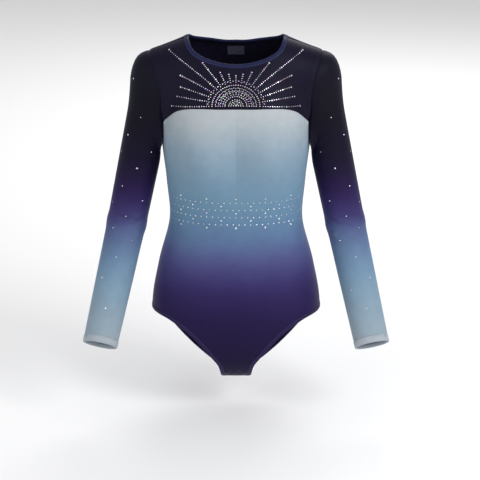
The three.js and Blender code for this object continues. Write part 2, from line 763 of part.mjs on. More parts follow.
// ---------- Assembly ----------
const leotard = new THREE.Group();
const material = {
  navy: new THREE.MeshStandardMaterial({ color: 0x17142a, roughness: 0.6 }),
  printed: new THREE.MeshStandardMaterial({ color: 0x7f9dbb, roughness: 0.6 }),
  binding: new THREE.MeshStandardMaterial({ color: 0x1d2145, roughness: 0.6 }),
  lining: new THREE.MeshStandardMaterial({ color: 0xe7e2da, roughness: 0.8 }),
  elastic: new THREE.MeshStandardMaterial({ color: 0xf2f2f0, roughness: 0.7 }),
  thread: new THREE.MeshStandardMaterial({ color: 0x2a2550, roughness: 0.8 }),
  label: new THREE.MeshStandardMaterial({ color: 0xf6f5f2, roughness: 0.7 }),
  stone: new THREE.MeshStandardMaterial({ color: 0xd9cfe6, roughness: 0.1, metalness: 0.2 }),
};

function add(name, geometry, finish) {
  const mesh = new THREE.Mesh(geometry, finish);
  mesh.name = name;
  leotard.add(mesh);
}

function mirrorImage(geometry) {
  const other = geometry.clone().applyMatrix4(new THREE.Matrix4().makeScale(-1, 1, 1));
  return facingOut([...other.attributes.position.array], [...other.index.array]);
}

// A piece on the wearer's left and its mirror image on the right.
function addPair(name, geometry, finish, addOne = add) {
  addOne(`${name}_left`, geometry, finish);
  addOne(`${name}_right`, mirrorImage(geometry), finish);
}

// The bodice's panels with a little room round them. A trimming that would run into one is pared to clear it.
const rooms = bodicePanels.map((grid) =>
  solidOf(sheetBody(grid, fieldNormals(grid, bodiceField), -paring, cloth + paring)),
);

function addTrim(name, geometry, finish, others = []) {
  const solid = solidOf(geometry);
  const met = [...rooms, ...others].filter((room) => !room.intersect(solid).isEmpty());
  if (met.length === 0) return add(name, geometry, finish);
  const pared = met.reduce((left, room) => left.subtract(room), solid);
  const [largest] = pared.decompose().sort((a, b) => b.volume() - a.volume());
  return add(name, geometryOf(largest), finish);
}
const addTrimPair = (name, geometry, finish) => addPair(name, geometry, finish, addTrim);


function addPanels() {
  const panel = (name, grid, finish) => {
    const cut = trimmed(grid);
    add(name, sheetBody(cut, fieldNormals(cut, bodiceField), 0, cloth), finish);
  };
  panel("front_yoke", grids.frontYoke, material.navy);
  panel("back_yoke", grids.backYoke, material.navy);
  panel("front_body", grids.frontBody, material.printed);
  panel("back_body", grids.backBody, material.printed);
  const cut = trimmed(grids.sleeve, { sides: false });
  addPair("sleeve", sheetBody(cut, gridNormals(cut, true), 0, cloth, true), material.printed);
}

// A closed edge from its front and back halves on the wearer's left, both from the middle outwards.
const wholeRing = (front, back) => [
  ...front.slice().reverse(),
  ...front.slice(1).map(flipX),
  ...back.slice(1, -1).reverse().map(flipX),
  ...back.slice(0, -1),
];

function addEdges() {
  const neck = halved(wholeRing(neckline(-1), neckline(1)));
  const away = (k) => neck[k].clone().add(V(neck[k].x, neck[k].y, -40));
  const neckBand = strip(neck, away, bodiceSkin, foldProfile(bindingWidth), true);
  const neckElastic = strip(neck, away, bodiceSkin, elasticProfile(bindingWidth, neckMargin), true);
  const bandRoom = strip(neck, away, bodiceSkin, foldProfile(bindingWidth, paring), true);
  addTrim("neck_band", neckBand, material.binding);
  addTrim("neck_elastic", neckElastic, material.elastic, [solidOf(bandRoom)]);

  const leg = halved([...legLine(-1), ...legLine(1).slice(1, -1).reverse()]);
  const upAndIn = (k) => leg[k].clone().add(V(-20, 0, 10));
  addTrimPair("leg_band", strip(leg, upAndIn, bodiceSkin, foldProfile(hemWidth), true), material.binding);
  const legElastic = strip(leg, upAndIn, bodiceSkin, elasticProfile(hemWidth), true);
  addTrimPair("leg_elastic", legElastic, material.elastic);

  const cuff = grids.sleeve.at(-1);
  const upArm = (k) => grids.sleeve.at(-2)[k];
  addTrimPair("cuff_hem", strip(cuff, upArm, armSkin, foldProfile(cuffHemWidth), true), material.binding);
  const wristElastic = strip(cuff, upArm, armSkin, elasticProfile(cuffHemWidth), true);
  addTrimPair("wrist_elastic", wristElastic, material.elastic);
}

function addSeams() {
  const seam = (line, skin = bodiceSkin) => strip(line, (k) => line[k], skin, overSeam);
  const clearOfBand = bindingWidth + layerGap + endGap;
  const clearOfSeam = seamWidth + endGap;
  const clearOfArmhole = 3.8 * seamWidth; // along a seam that meets the armhole aslant
  const clearOfHem = hemWidth + 2 * endGap;
  const inwards = (k) => armhole[k].clone().setX(0);
  const top = -(cloth + foldGap + seamGap);
  const besideEdge = flatProfile(seamGap, seamWidth, top - seamThick, top);
  addTrimPair("armhole_seam", strip(armhole, inwards, bodiceSkin, besideEdge, true), material.thread);
  addTrimPair("shoulder_seam", seam(between(shoulderSeam, clearOfBand, clearOfSeam)), material.thread);
  const sideLine = grids.frontBody.slice(0, sideRows + 1).map((row) => row.at(-1));
  addTrimPair("side_seam", seam(between(sideLine, clearOfSeam, clearOfHem)), material.thread);
  for (const [name, side, points] of [
    ["front_yoke_seam", -1, armholeFront],
    ["back_yoke_seam", 1, armholeBack],
  ]) {
    const half = yokeSeam(side, points);
    const line = [...half.slice(1).reverse().map(flipX), ...half];
    addTrim(name, seam(between(line, clearOfArmhole, clearOfArmhole)), material.thread);
  }
  const crotch = grids.frontBody.at(-1);
  addTrim("crotch_seam", seam(between(crotch, clearOfHem, clearOfHem)), material.thread);
  const under = armhole.indexOf(armholeFront.at(-1));
  const underLine = grids.sleeve.map((row) => row[under]);
  const underStretch = between(underLine, 2 * underArm, cuffHemWidth + endGap);
  addTrimPair("underarm_seam", seam(underStretch, armSkin), material.thread);
}

function addLinings() {
  const depth = cloth + layerGap;
  const { first, end, margin } = liningRows;
  const chestLining = grids.frontBody.slice(first, end).map((row) => row.slice(margin, -margin));
  const normals = fieldNormals(chestLining, bodiceField);
  addTrim("front_lining", sheetBody(chestLining, normals, depth, depth + bindingCloth), material.lining);
  const { rows, half } = gussetReach;
  const strips = [...grids.frontBody.slice(-rows), ...grids.backBody.slice(-rows, -1).reverse()];
  const middle = Math.floor(grids.frontBody[0].length / 2);
  const gusset = strips.map((row) => row.slice(middle - half, middle + half + 1));
  const under = cloth + seamDrop + seamThick + layerGap;
  addTrim(
    "crotch_lining",
    sheetBody(gusset, fieldNormals(gusset, bodiceField), under, under + bindingCloth),
    material.lining,
  );
}

// A label that lies against the inside of the back, its middle below the neckline or beside a seam.
function labelBody(centre, size) {
  const normal = outward(bodiceField, centre);
  const down = V(0, 0, -1).addScaledVector(normal, normal.z).normalize();
  const across = down.clone().cross(normal);
  const grid = [-0.5, 0, 0.5].map((v) =>
    [-0.5, 0, 0.5].map((u) => {
      const p = centre.clone().addScaledVector(across, u * size.width).addScaledVector(down, v * size.height);
      const level = settled(bodiceField, p);
      return bodiceSkin.ground(level) ?? level;
    }),
  );
  const depth = cloth + labelGap;
  return sheetBody(grid, fieldNormals(grid, bodiceField), depth, depth + size.thick);
}

function addLabels() {
  const below = bindingWidth + sizeLabel.height / 2 + 2 * endGap;
  addTrim("size_label", labelBody(facing(0, -backNeckDepth - below, 1), sizeLabel), material.label);
  const besideSeam = fromChart({ across: quarter * careLabelPlace.across, girth: careLabelPlace.girth }, 1);
  addTrim("care_label", labelBody(besideSeam, careLabel), material.label);
}

function addStones() {
  addTrim("sunburst_stones", sunburst(), material.stone);
  for (let row = 0; row < waistRows.count; row++) {
    addTrim(`waist_stones_row_${row + 1}`, waistRow(row), material.stone);
  }
}

addPanels();
addEdges();
addSeams();
addLinings();
addLabels();
addStones();

export default leotard;
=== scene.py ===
"""Looks of the gymnastics leotard: fine cloth, bindings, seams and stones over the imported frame."""

import math

import bpy
import numpy as np
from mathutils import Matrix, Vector


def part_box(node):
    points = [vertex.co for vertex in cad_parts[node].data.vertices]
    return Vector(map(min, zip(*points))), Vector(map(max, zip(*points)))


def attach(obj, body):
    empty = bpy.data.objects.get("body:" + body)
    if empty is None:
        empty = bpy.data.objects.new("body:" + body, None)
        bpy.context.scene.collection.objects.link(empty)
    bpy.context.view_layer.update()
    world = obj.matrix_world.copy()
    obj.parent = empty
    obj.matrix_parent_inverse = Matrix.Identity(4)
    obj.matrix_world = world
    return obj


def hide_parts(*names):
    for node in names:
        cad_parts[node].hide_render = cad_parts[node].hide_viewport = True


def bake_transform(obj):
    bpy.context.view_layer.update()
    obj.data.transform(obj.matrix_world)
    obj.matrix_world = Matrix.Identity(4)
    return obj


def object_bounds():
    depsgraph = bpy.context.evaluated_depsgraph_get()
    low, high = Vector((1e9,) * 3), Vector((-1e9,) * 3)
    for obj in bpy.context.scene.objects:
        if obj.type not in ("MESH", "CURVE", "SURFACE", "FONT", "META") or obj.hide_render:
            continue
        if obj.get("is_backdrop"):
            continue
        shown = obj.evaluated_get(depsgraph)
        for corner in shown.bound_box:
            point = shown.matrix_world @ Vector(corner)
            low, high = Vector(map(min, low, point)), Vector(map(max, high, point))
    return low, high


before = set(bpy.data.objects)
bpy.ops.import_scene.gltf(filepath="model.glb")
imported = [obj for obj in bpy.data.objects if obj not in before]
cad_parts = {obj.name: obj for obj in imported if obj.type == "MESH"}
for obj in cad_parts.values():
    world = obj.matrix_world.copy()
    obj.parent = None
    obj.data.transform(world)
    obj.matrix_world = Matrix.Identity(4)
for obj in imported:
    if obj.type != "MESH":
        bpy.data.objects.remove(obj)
cad_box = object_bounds()

MM = 0.001
SIDES = {"left": 1, "right": -1}

# ---------- Heights and widths that the frame gives, in millimetres ----------
def cad(node, corner, axis):
    """One side of a CAD node's box, in millimetres. corner is 0 for the lowest and 1 for the highest."""
    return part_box(node)[corner][axis] / MM


crotch_z = cad("front_body", 0, 2)
hip_half = cad("front_body", 1, 0)
yoke_z = cad("front_body", 1, 2)
shoulder_half = cad("front_yoke", 1, 0) + 0.2
crotch_depth = 139
hip_z = crotch_z + crotch_depth
armpit_z = hip_z + 334
waist_z = armpit_z - 162
neck_half = 90
front_neck = -42
back_neck = -17
armhole_top_z = -26
collar_x = 70  # where the ridge of the shoulder starts
collar_drop = 47
shoulder_slope = 0.33

# ---------- The wearer's shape, as in the CAD ----------
chest_half = 139
STATION_Z = [armpit_z, (armpit_z + waist_z) / 2, waist_z, (waist_z + hip_z) / 2, hip_z]
STATIONS = {
    "half": [chest_half, 131, 126, 147, hip_half],
    "front": [99, 98, 88, 99, 101],
    "back": [96, 90, 79, 94, 104],
}
CHEST_DOME = {-1: 172, 1: 186}
BUST = {"x": 72, "z": armpit_z - 14, "rise": 29, "spread": 43}
SEAT = {"x": 66, "z": hip_z - 22, "rise": 19, "spread": 58}
SQUARENESS = 2.3
shoulder_radius = 49
trunk_blend = 34
arm_blend = 12
elbow_blend = 6
stub_blend = 24
stub_length = 32
upper_arm = 273
fore_arm = 241
arm_spread = 0.205
elbow_back = 12
fore_arm_lean = math.radians(28)
ARM_RADIUS = {"shoulder": 41, "elbow": 37, "wrist": 32.5}
girdle_inset = 26
arm_inset = 9.5
arm_drop = 12
trunk_clear = 3
press_blend = 6
settle_by = 0.6
ray_length = 420  # longer than any ray from the middle to the cloth
ray_halvings = 30
quarter = math.pi / 2


def vec(*xyz):
    return np.array(xyz, dtype=float)


def unit(v):
    return v / np.maximum(np.linalg.norm(v, axis=-1, keepdims=True), 1e-9)


def lerp(a, b, t):
    return a + (b - a) * t


def ease(x, low, high):
    t = np.clip((x - low) / (high - low), 0, 1)
    return t * t * (3 - 2 * t)


def trunk_size(key, z):
    """A size of the trunk at heights z, eased through the stations."""
    heights = np.array(STATION_Z[::-1])
    sizes = np.array(STATIONS[key][::-1], dtype=float)
    slopes = np.zeros(len(sizes))
    slopes[1:-1] = (sizes[2:] - sizes[:-2]) / (heights[2:] - heights[:-2])
    z = np.clip(z, heights[0], heights[-1])
    i = np.clip(np.searchsorted(heights, z) - 1, 0, len(sizes) - 2)
    h = heights[i + 1] - heights[i]
    t = (z - heights[i]) / h
    low = sizes[i] * (2 * t**3 - 3 * t**2 + 1) + slopes[i] * h * (t**3 - 2 * t**2 + t)
    high = sizes[i + 1] * (3 * t**2 - 2 * t**3) + slopes[i + 1] * h * (t**3 - t**2)
    return low + high


def swell(p, hill):
    x = np.abs(p[..., 0]) - hill["x"]
    z = p[..., 2] - hill["z"]
    return hill["rise"] * np.exp(-(x * x + z * z) / (2 * hill["spread"] ** 2))


def trunk_field(p):
    z = p[..., 2]
    front = p[..., 1] < 0
    depth_front = trunk_size("front", z) + swell(p, BUST)
    depth_back = trunk_size("back", z) + swell(p, SEAT)
    depth = np.where(front, depth_front, depth_back)
    dome = np.where(front, CHEST_DOME[-1], CHEST_DOME[1])
    above = np.maximum(z - armpit_z, 0) / dome
    below = np.maximum(hip_z - z, 0) / crotch_depth
    total = (
        np.abs(p[..., 0] / trunk_size("half", z)) ** SQUARENESS
        + np.abs(p[..., 1] / depth) ** SQUARENESS
        + (above + below) ** SQUARENESS
    )
    return (total ** (1 / SQUARENESS) - 1) * depth


def limb_field(p, a, b, ra, rb):
    along = b - a
    t = np.clip(((p - a) @ along) / (along @ along), 0, 1)
    nearest = a + t[..., None] * along
    return np.linalg.norm(p - nearest, axis=-1) - lerp(ra, rb, t)


def blend(a, b, reach):
    h = np.maximum(reach - np.abs(a - b), 0) / reach
    return np.minimum(a, b) - h * h * reach / 4


def ridge_z(x):
    return -collar_drop - (x - collar_x) * shoulder_slope


girdle_in = vec(collar_x, 0, ridge_z(collar_x))
girdle_out = vec(shoulder_half - girdle_inset, 0, ridge_z(shoulder_half - girdle_inset))
shoulder = vec(shoulder_half - arm_inset, 0, ridge_z(shoulder_half) - arm_drop)
stub_end = shoulder + vec(0, 0, -stub_length)
elbow = shoulder + vec(arm_spread * upper_arm, elbow_back, -upper_arm)
wrist = elbow + fore_arm * unit(vec(arm_spread, -math.sin(fore_arm_lean), -math.cos(fore_arm_lean)))


def one_sided(p):
    return np.concatenate([np.abs(p[..., :1]), p[..., 1:]], axis=-1)


def girdle_field(p):
    return limb_field(one_sided(p), girdle_in, girdle_out, shoulder_radius, shoulder_radius)


def bodice_field(p):
    root = ARM_RADIUS["shoulder"]
    stub = limb_field(one_sided(p), shoulder, stub_end, root, root)
    return blend(blend(trunk_field(p), girdle_field(p), trunk_blend), stub, stub_blend)


def limbs_field(p):
    upper = limb_field(p, shoulder, elbow, ARM_RADIUS["shoulder"], ARM_RADIUS["elbow"])
    lower = limb_field(p, elbow, wrist, ARM_RADIUS["elbow"], ARM_RADIUS["wrist"])
    return blend(upper, lower, elbow_blend)


def off_trunk(field, p):
    """The sleeve lies flat against the side of the trunk, where the arm hangs close to it."""
    return -blend(-field, trunk_field(p) - trunk_clear, press_blend)


def arm_field(p):
    return off_trunk(limbs_field(p), p)


def sleeve_field(p):
    return off_trunk(blend(limbs_field(p), girdle_field(p), arm_blend), p)


def cast(field, origin, direction):
    """Where rays from inside leave the field's shape."""
    origin, direction = np.broadcast_arrays(origin, direction)
    near = np.zeros(direction.shape[:-1])
    far = np.full(near.shape, float(ray_length))
    for _ in range(ray_halvings):
        middle = (near + far) / 2
        inside = field(origin + direction * middle[..., None]) < 0
        near = np.where(inside, middle, near)
        far = np.where(inside, far, middle)
    return origin + direction * near[..., None]


def gradient(field, p):
    e = 0.5
    steps = np.eye(3) * e
    return np.stack([field(p + s) - field(p - s) for s in steps], axis=-1) / (2 * e)


def outward(field, p):
    return unit(gradient(field, p))


def settled(field, p):
    for _ in range(5):
        g = gradient(field, p)
        p = p - g * (field(p) / np.sum(g * g, axis=-1))[..., None]
    return p


# ---------- The bodice's chart: angle from the middle, and girth from shoulder (-1) to crotch (2) ----------
def from_chart(across, girth, side):
    tilt = np.where(girth < 0, girth, np.maximum(girth - 1, 0)) * quarter
    origin = np.stack([0 * girth, 0 * girth, lerp(armpit_z, hip_z, np.clip(girth, 0, 1))], axis=-1)
    level = np.cos(across)
    direction = np.stack([np.sin(across), side * level * np.cos(tilt), -level * np.sin(tilt)], axis=-1)
    return cast(bodice_field, origin, direction)


def to_chart(p):
    x, depth, z = p[..., 0], np.abs(p[..., 1]), p[..., 2]
    up = np.maximum(z - armpit_z, 0)
    down = np.maximum(hip_z - z, 0)
    across = np.arctan2(x, np.hypot(depth, up + down))
    trunk = np.clip((armpit_z - z) / (armpit_z - hip_z), 0, 1)
    girth = trunk - np.arctan2(up, np.maximum(depth, 1e-6)) / quarter
    girth = girth + np.arctan2(down, np.maximum(depth, 1e-6)) / quarter
    return across, girth


def facing(x, z, side):
    """The points of the front (side -1) or back (1) seen at x, z from straight ahead."""
    x, z = np.broadcast_arrays(np.asarray(x, float), np.asarray(z, float))
    return cast(bodice_field, np.stack([x, 0 * x, z], axis=-1), vec(0, side, 0))


def run_along(line):
    """How far along a line each of its points is."""
    return np.concatenate([[0], np.cumsum(np.linalg.norm(np.diff(line, axis=0), axis=1))])


def at_run(line, run, stops):
    return np.stack([np.interp(stops, run, line[:, i]) for i in range(3)], axis=-1)


def spline(points, count):
    """count + 1 evenly spaced points on a centripetal Catmull-Rom curve."""
    p = np.vstack([2 * points[0] - points[1], points, 2 * points[-1] - points[-2]])
    dense = [points[0]]
    for k in range(1, len(p) - 2):
        knots = np.cumsum([0] + [np.linalg.norm(p[k + j] - p[k + j - 1]) ** 0.5 for j in range(3)])
        t = np.linspace(knots[1], knots[2], 41)[1:, None]
        mix = lambda a, b, i, j: ((knots[j] - t) * a + (t - knots[i]) * b) / (knots[j] - knots[i])
        a1, a2, a3 = mix(p[k - 1], p[k], 0, 1), mix(p[k], p[k + 1], 1, 2), mix(p[k + 1], p[k + 2], 2, 3)
        b1, b2 = mix(a1, a2, 0, 2), mix(a2, a3, 1, 3)
        dense.extend(mix(b1, b2, 1, 2))
    dense = np.array(dense)
    run = run_along(dense)
    stops = np.linspace(0, run[-1], count + 1)
    return at_run(dense, run, stops)


# ---------- Seam lines ----------
FINE = 5  # fine steps to each of the CAD's


def armhole_half(side, count):
    scoop = 1 if side < 0 else 0.75
    level = lambda share: lerp(armhole_top_z, armpit_z, share)
    points = np.array(
        [
            [shoulder_half, 0, armhole_top_z],
            [shoulder_half - 14 * scoop, side * 40, level(0.2)],
            [shoulder_half - 20.5 * scoop, side * 50, level(0.46)],
            [chest_half + 1.5, side * 46, level(0.72)],
            [chest_half + 1, side * 27, level(0.93)],
            [chest_half, 0, armpit_z],
        ]
    )
    return settled(bodice_field, spline(points, count))


ABOVE, BELOW, ACROSS, NECK, SIDE_ROWS, LEG_ROWS = 9, 3, 10, 7, 9, 10
armholes = {side: armhole_half(side, (ABOVE + BELOW) * FINE) for side in (-1, 1)}
armhole_loop = np.vstack([armholes[-1], armholes[1][1:-1][::-1]])
neck_corner = from_chart(np.array(math.atan2(neck_half, -armpit_z)), np.array(-1.0), -1) * vec(1, 0, 1)


def laid(points, side):
    return from_chart(*to_chart(points), side)


def neckline(side):
    depth = front_neck if side < 0 else back_neck
    shares = np.array([0, 0.43, 0.7, 0.89])
    falls = np.array([1, 0.87, 0.66, 0.4])
    points = facing(neck_half * shares, neck_corner[2] - (neck_corner[2] - depth) * falls, side)
    return laid(spline(np.vstack([points, neck_corner]), NECK * FINE), side)


def shoulder_line():
    start, end = neck_corner, armholes[-1][0]
    x = np.linspace(start[0], end[0], (ACROSS - NECK) * FINE + 1)
    origin = np.stack([x, 0 * x, ridge_z(x)], axis=-1)
    line = cast(bodice_field, origin, vec(0, 0, 1))
    line[-1] = end
    return line


def yoke_line(side):
    end = armholes[side][ABOVE * FINE]
    shares = np.array([0, 0.25, 0.5, 0.7, 0.84])
    points = facing(end[0] * shares, lerp(yoke_z, end[2], shares**6), side)
    line = laid(spline(np.vstack([points, end]), ACROSS * FINE), side)
    line[-1] = end
    return line


LEG_CUT = {  # the leg opening in front and behind: shares of the hip's half width and of the crotch's depth
    -1: [(0.84, 0.04), (0.72, 0.1), (0.6, 0.19), (0.48, 0.31), (0.38, 0.44), (0.28, 0.59), (0.2, 0.74)],
    1: [(0.93, 0.13), (0.85, 0.28), (0.74, 0.46), (0.6, 0.64), (0.45, 0.79), (0.32, 0.89), (0.22, 0.95)],
}
crotch_half = 21


def leg_line(side):
    reach, fall = np.array(LEG_CUT[side]).T
    points = facing(hip_half * reach, lerp(hip_z, crotch_z, fall), side)
    start = vec(hip_half, 0, hip_z)
    bottom = from_chart(np.array(math.atan2(crotch_half, crotch_depth)), np.array(2.0), side)
    return laid(spline(np.vstack([start, points, bottom]), LEG_ROWS * FINE), side)


necklines = {side: neckline(side) for side in (-1, 1)}
yoke_lines = {side: yoke_line(side) for side in (-1, 1)}
leg_lines = {side: leg_line(side) for side in (-1, 1)}
shoulder_seam = shoulder_line()


# ---------- Panels as grids of points ----------
def both_halves(half):
    return np.concatenate([half[:, :0:-1] * vec(-1, 1, 1), half], axis=1)


def yoke_grid(side):
    """From the neck and shoulder (row 0) to the yoke seam, drawn on the chart from its four edges."""
    top = np.vstack([necklines[side], shoulder_seam[1:]])
    bottom = yoke_lines[side]
    outer = armholes[side][: ABOVE * FINE + 1]
    t, b, o = (np.stack(to_chart(line), axis=-1) for line in (top, bottom, outer))
    u = np.linspace(0, 1, ACROSS * FINE + 1)[None, :, None]
    v = np.linspace(0, 1, ABOVE * FINE + 1)[:, None, None]
    middle = lerp(t[0], b[0], v)
    spot = lerp(t[None], b[None], v) + lerp(middle, o[:, None], u)
    spot = spot - lerp(lerp(t[0], b[0], v), lerp(t[-1], b[-1], v), u)
    grid = from_chart(spot[..., 0], spot[..., 1], side)
    edge = from_chart(o[:, 0], o[:, 1], side)
    grid = grid + (outer - edge)[:, None] * u**4
    grid[0] = top
    return both_halves(grid)


def body_grid(side):
    """From the yoke seam and armholes (row 0) to the crotch seam."""
    top = np.vstack([yoke_lines[side], armholes[side][ABOVE * FINE + 1 :]])
    across, girth = to_chart(top)
    across[-1], girth[-1] = quarter, 0
    down = np.linspace(0, 1, SIDE_ROWS * FINE + 1)[:, None]
    trunk = from_chart(across + 0 * down, lerp(girth, 1, down), side)
    leg_across, leg_girth = to_chart(leg_lines[side][1:])
    share = across / quarter
    settles = np.flatnonzero(np.diff(leg_girth) < 0).max(initial=-1) + 1
    steady = leg_girth.copy()  # the leg line dips at the side seam, and the panel's middle doesn't
    steady[: settles + 1] = np.linspace(1, leg_girth[settles], settles + 2)[1:]
    leg_rows = lerp(steady[:, None], leg_girth[:, None], share**8)
    legs = from_chart(share * leg_across[:, None], leg_rows, side)
    trunk[0] = top
    return both_halves(np.concatenate([trunk, legs]))


def sleeve_grid():
    """Rings of the wearer's left sleeve from the armhole to the cuff, with each ring's own axis."""
    cap_rings, path_rings = 5 * FINE, 20 * FINE
    head_drop = 26  # length of the underarm seam that the sleeve head takes
    down = unit(elbow - shoulder)
    square = math.pi - math.acos(-down[0])
    half_top = (armhole_top_z - armpit_z) / 2
    loop = armhole_loop + vec(0.3, 0, 0)
    rings = []
    first = None
    n = len(loop)
    even = 2 * math.pi * np.arange(n) / n

    def ring(centre, out, front, field, w, shift):
        q = loop - first[0]
        start = np.arctan2(q @ first[2], q @ first[1])
        turned = np.where((start < -1e-6) & (np.arange(n) > 0), start + 2 * math.pi, start)
        angle = lerp(turned, even, ease(w, 0, 1))
        rays = np.cos(angle)[:, None] * out + np.sin(angle)[:, None] * front
        aims = np.cos(start)[:, None] * first[1] + np.sin(start)[:, None] * first[2]
        off = loop - cast(sleeve_field, first[0], aims)
        spot = cast(field, centre, rays) + off * shift
        return lerp(spot, settled(field, spot), ease(w, 0, settle_by))

    for k in range(cap_rings + 1):
        w = k / cap_rings
        out = vec(math.sin(w * square), 0, math.cos(w * square))
        reach = lerp(half_top, ARM_RADIUS["shoulder"], w)
        centre = vec(chest_half, 0, armpit_z) + down * head_drop * w + out * reach
        first = first or (centre, out, vec(0, -1, 0))
        rings.append(ring(centre, out, vec(0, -1, 0), sleeve_field, w, (1 - w) ** 2))
    drop = (centre[2] - shoulder[2]) / down[2]
    start = vec(shoulder[0] + drop * down[0], shoulder[1] + drop * down[1], centre[2])
    stops = [start, lerp(start, elbow, 0.45), elbow, lerp(elbow, wrist, 0.5), wrist]
    path = spline(np.array(stops), path_rings)
    for k in range(1, path_rings + 1):
        along = unit(path[min(k + 1, path_rings)] - path[k - 1])
        out = unit(vec(1, 0, 0) - along * along[0])
        front = -unit(np.cross(out, along))
        w = ease(k / path_rings, 0, 0.12)
        soft = lambda p, w=w: lerp(sleeve_field(p), arm_field(p), w)
        rings.append(ring(path[k], out, front, soft, 1, 0))
    return np.array(rings)


grids = {
    "front_yoke": yoke_grid(-1),
    "back_yoke": yoke_grid(1),
    "front_body": body_grid(-1),
    "back_body": body_grid(1),
    "sleeve": sleeve_grid(),
}


# ---------- Relief of the cloth, in millimetres outwards ----------
def fold(p, centre, along, length, width, height):
    """A soft ridge through centre, running along a direction."""
    along = unit(vec(*along))
    q = p - vec(*centre)
    run = q @ along
    off = np.linalg.norm(q - run[..., None] * along, axis=-1)
    return height * np.exp(-((run / length) ** 2) - (off / width) ** 2)


CROTCH_GATHERS = [(-24, 2.2), (-13, -1.8), (-3, 2.0), (9, -1.6), (20, 1.8)]  # place across, height


def bodice_relief(p):
    """Gathers over the crotch, drag lines at the armpits and faint waves across the waist."""
    x, y, z = p[..., 0], p[..., 1], p[..., 2]
    front = y < 0
    either_side = p * np.where(x[..., None] < 0, vec(-1, 1, 1), vec(1, 1, 1))
    total = 0.35 * np.sin(z / 17 + 1.3 * np.sin(x / 43)) * np.exp(-(((z - waist_z) / 60) ** 2))
    for across, height in CROTCH_GATHERS:
        gather = fold(p, (across, -60, crotch_z + 62), (across * 0.35, 0, 60), 46, 5, height)
        total = total + np.where(front, gather, 0)
    for depth, side in ((-48, 1), (44, -1)):
        for k in range(3):
            spot = (chest_half - 9, depth, armpit_z - 4 - 14 * k)
            along = (-0.8, 0.3 * side, -0.25 - 0.25 * k)
            total = total + fold(either_side, spot, along, 30, 5, 1.1 - 0.3 * k)
    return total


def sleeve_relief(p):
    """Creases inside the elbow, rings of slack above the cuff and drag lines at the armpit."""
    total = np.zeros(p.shape[:-1])
    for k in range(4):
        spot = elbow + vec(0, -34, 26 - 17 * k)
        along = (1, 0, 0.3 * (-1) ** k)
        total = total + fold(p, spot, along, 30, 5.5, 2.6 if k in (1, 2) else 1.7)
        total = total - fold(p, spot - vec(0, 0, 8), along, 26, 4.5, 2.0)
    arm = unit(wrist - elbow)
    for k in range(5):
        turn = (-1) ** k
        spot = wrist - arm * (22 + 13 * k) + vec(24 * turn, -22, 0)
        total = total + fold(p, spot, (1, 0.4 * turn, 0.35), 34, 4.5, 1.3 - 0.15 * k)
    for k in range(3):
        spot = vec(chest_half + 16, -30, armpit_z - 6 - 22 * k)
        total = total + fold(p, spot, (0.75, -0.1, 0.65), 34, 6, 2.0 - 0.5 * k)
    return total


# ---------- Meshes ----------
def refined(grid, axis, extra=(0.5, 1.1, 1.9, 3)):
    """The grid twice as fine, with rows beside its edges, extra millimetres in, for the seams."""
    grid = np.moveaxis(grid, axis, 0)
    last = len(grid) - 1
    step = np.linalg.norm(np.diff(grid, axis=0), axis=-1).mean()
    stops = list(np.arange(0, last + 0.1, 0.5))
    stops += [e / step for e in extra] + [last - e / step for e in extra]
    stops = np.array(sorted(set(round(s, 4) for s in stops)))
    low = np.minimum(stops.astype(int), last - 1)
    share = (stops - low).reshape(-1, *[1] * (grid.ndim - 1))
    return np.moveaxis(lerp(grid[low], grid[low + 1], share), 0, axis)


def edge_distance(grid, axis):
    """How far each point is from its row's or column's two ends, in millimetres."""
    steps = np.linalg.norm(np.diff(grid, axis=axis), axis=-1)
    run = np.cumsum(np.insert(steps, 0, 0, axis=axis), axis=axis)
    return run, np.take(run, [-1], axis=axis) - run


def press(distance, depth=0.9, width=1.7):
    return -depth * np.exp(-((distance / width) ** 2))


def new_object(name, points, faces, smooth=True):
    mesh = bpy.data.meshes.new(name)
    mesh.from_pydata((np.asarray(points) * MM).tolist(), [], [list(map(int, f)) for f in faces])
    mesh.validate()
    if smooth:
        mesh.shade_smooth()
    obj = bpy.data.objects.new(name, mesh)
    bpy.context.scene.collection.objects.link(obj)
    return obj


def quads(rows, columns, wrap_rows, wrap_columns, offset=0, flip=False):
    across = np.arange(columns if wrap_columns else columns - 1)
    j, i = np.meshgrid(np.arange(rows if wrap_rows else rows - 1), across, indexing="ij")
    at = lambda a, b: offset + (a % rows) * columns + (b % columns)
    face = [at(j, i), at(j + 1, i), at(j + 1, i + 1), at(j, i + 1)]
    return np.stack(face[::-1] if flip else face, axis=-1).reshape(-1, 4)


def sheet_object(name, grid, normals, top, bottom, wraps=False):
    """A closed sheet between two heights over a grid."""
    rows, columns = grid.shape[:2]
    count = rows * columns
    points = np.stack([grid + normals * top, grid + normals * bottom]).reshape(-1, 3)
    faces = [quads(rows, columns, False, wraps), quads(rows, columns, False, wraps, count, True)]
    index = np.arange(count).reshape(rows, columns)
    rims = [(index[0], True), (index[-1], False)]
    if not wraps:
        rims += [(index[:, 0], False), (index[:, -1], True)]
    for line, flip in rims:
        a, b = line, np.roll(line, -1)
        if not wraps or line.ndim != 1 or len(line) != columns:
            a, b = line[:-1], line[1:]
        rim = np.stack([a, b, b + count, a + count], axis=-1)
        faces.append(rim[:, ::-1] if flip else rim)
    return outward_faces(new_object(name, points, np.concatenate(faces)))


def outward_faces(obj):
    """Turns the mesh's faces outwards if its volume says that they face in."""
    mesh = obj.data
    points = np.array([v.co for v in mesh.vertices])
    mesh.calc_loop_triangles()
    corners = points[np.array([t.vertices for t in mesh.loop_triangles])]
    volume = np.einsum("ij,ij->i", corners[:, 0], np.cross(corners[:, 1], corners[:, 2])).sum()
    if volume < 0:
        mesh.flip_normals()
    return obj


def mirrored(points):
    return points * vec(-1, 1, 1)


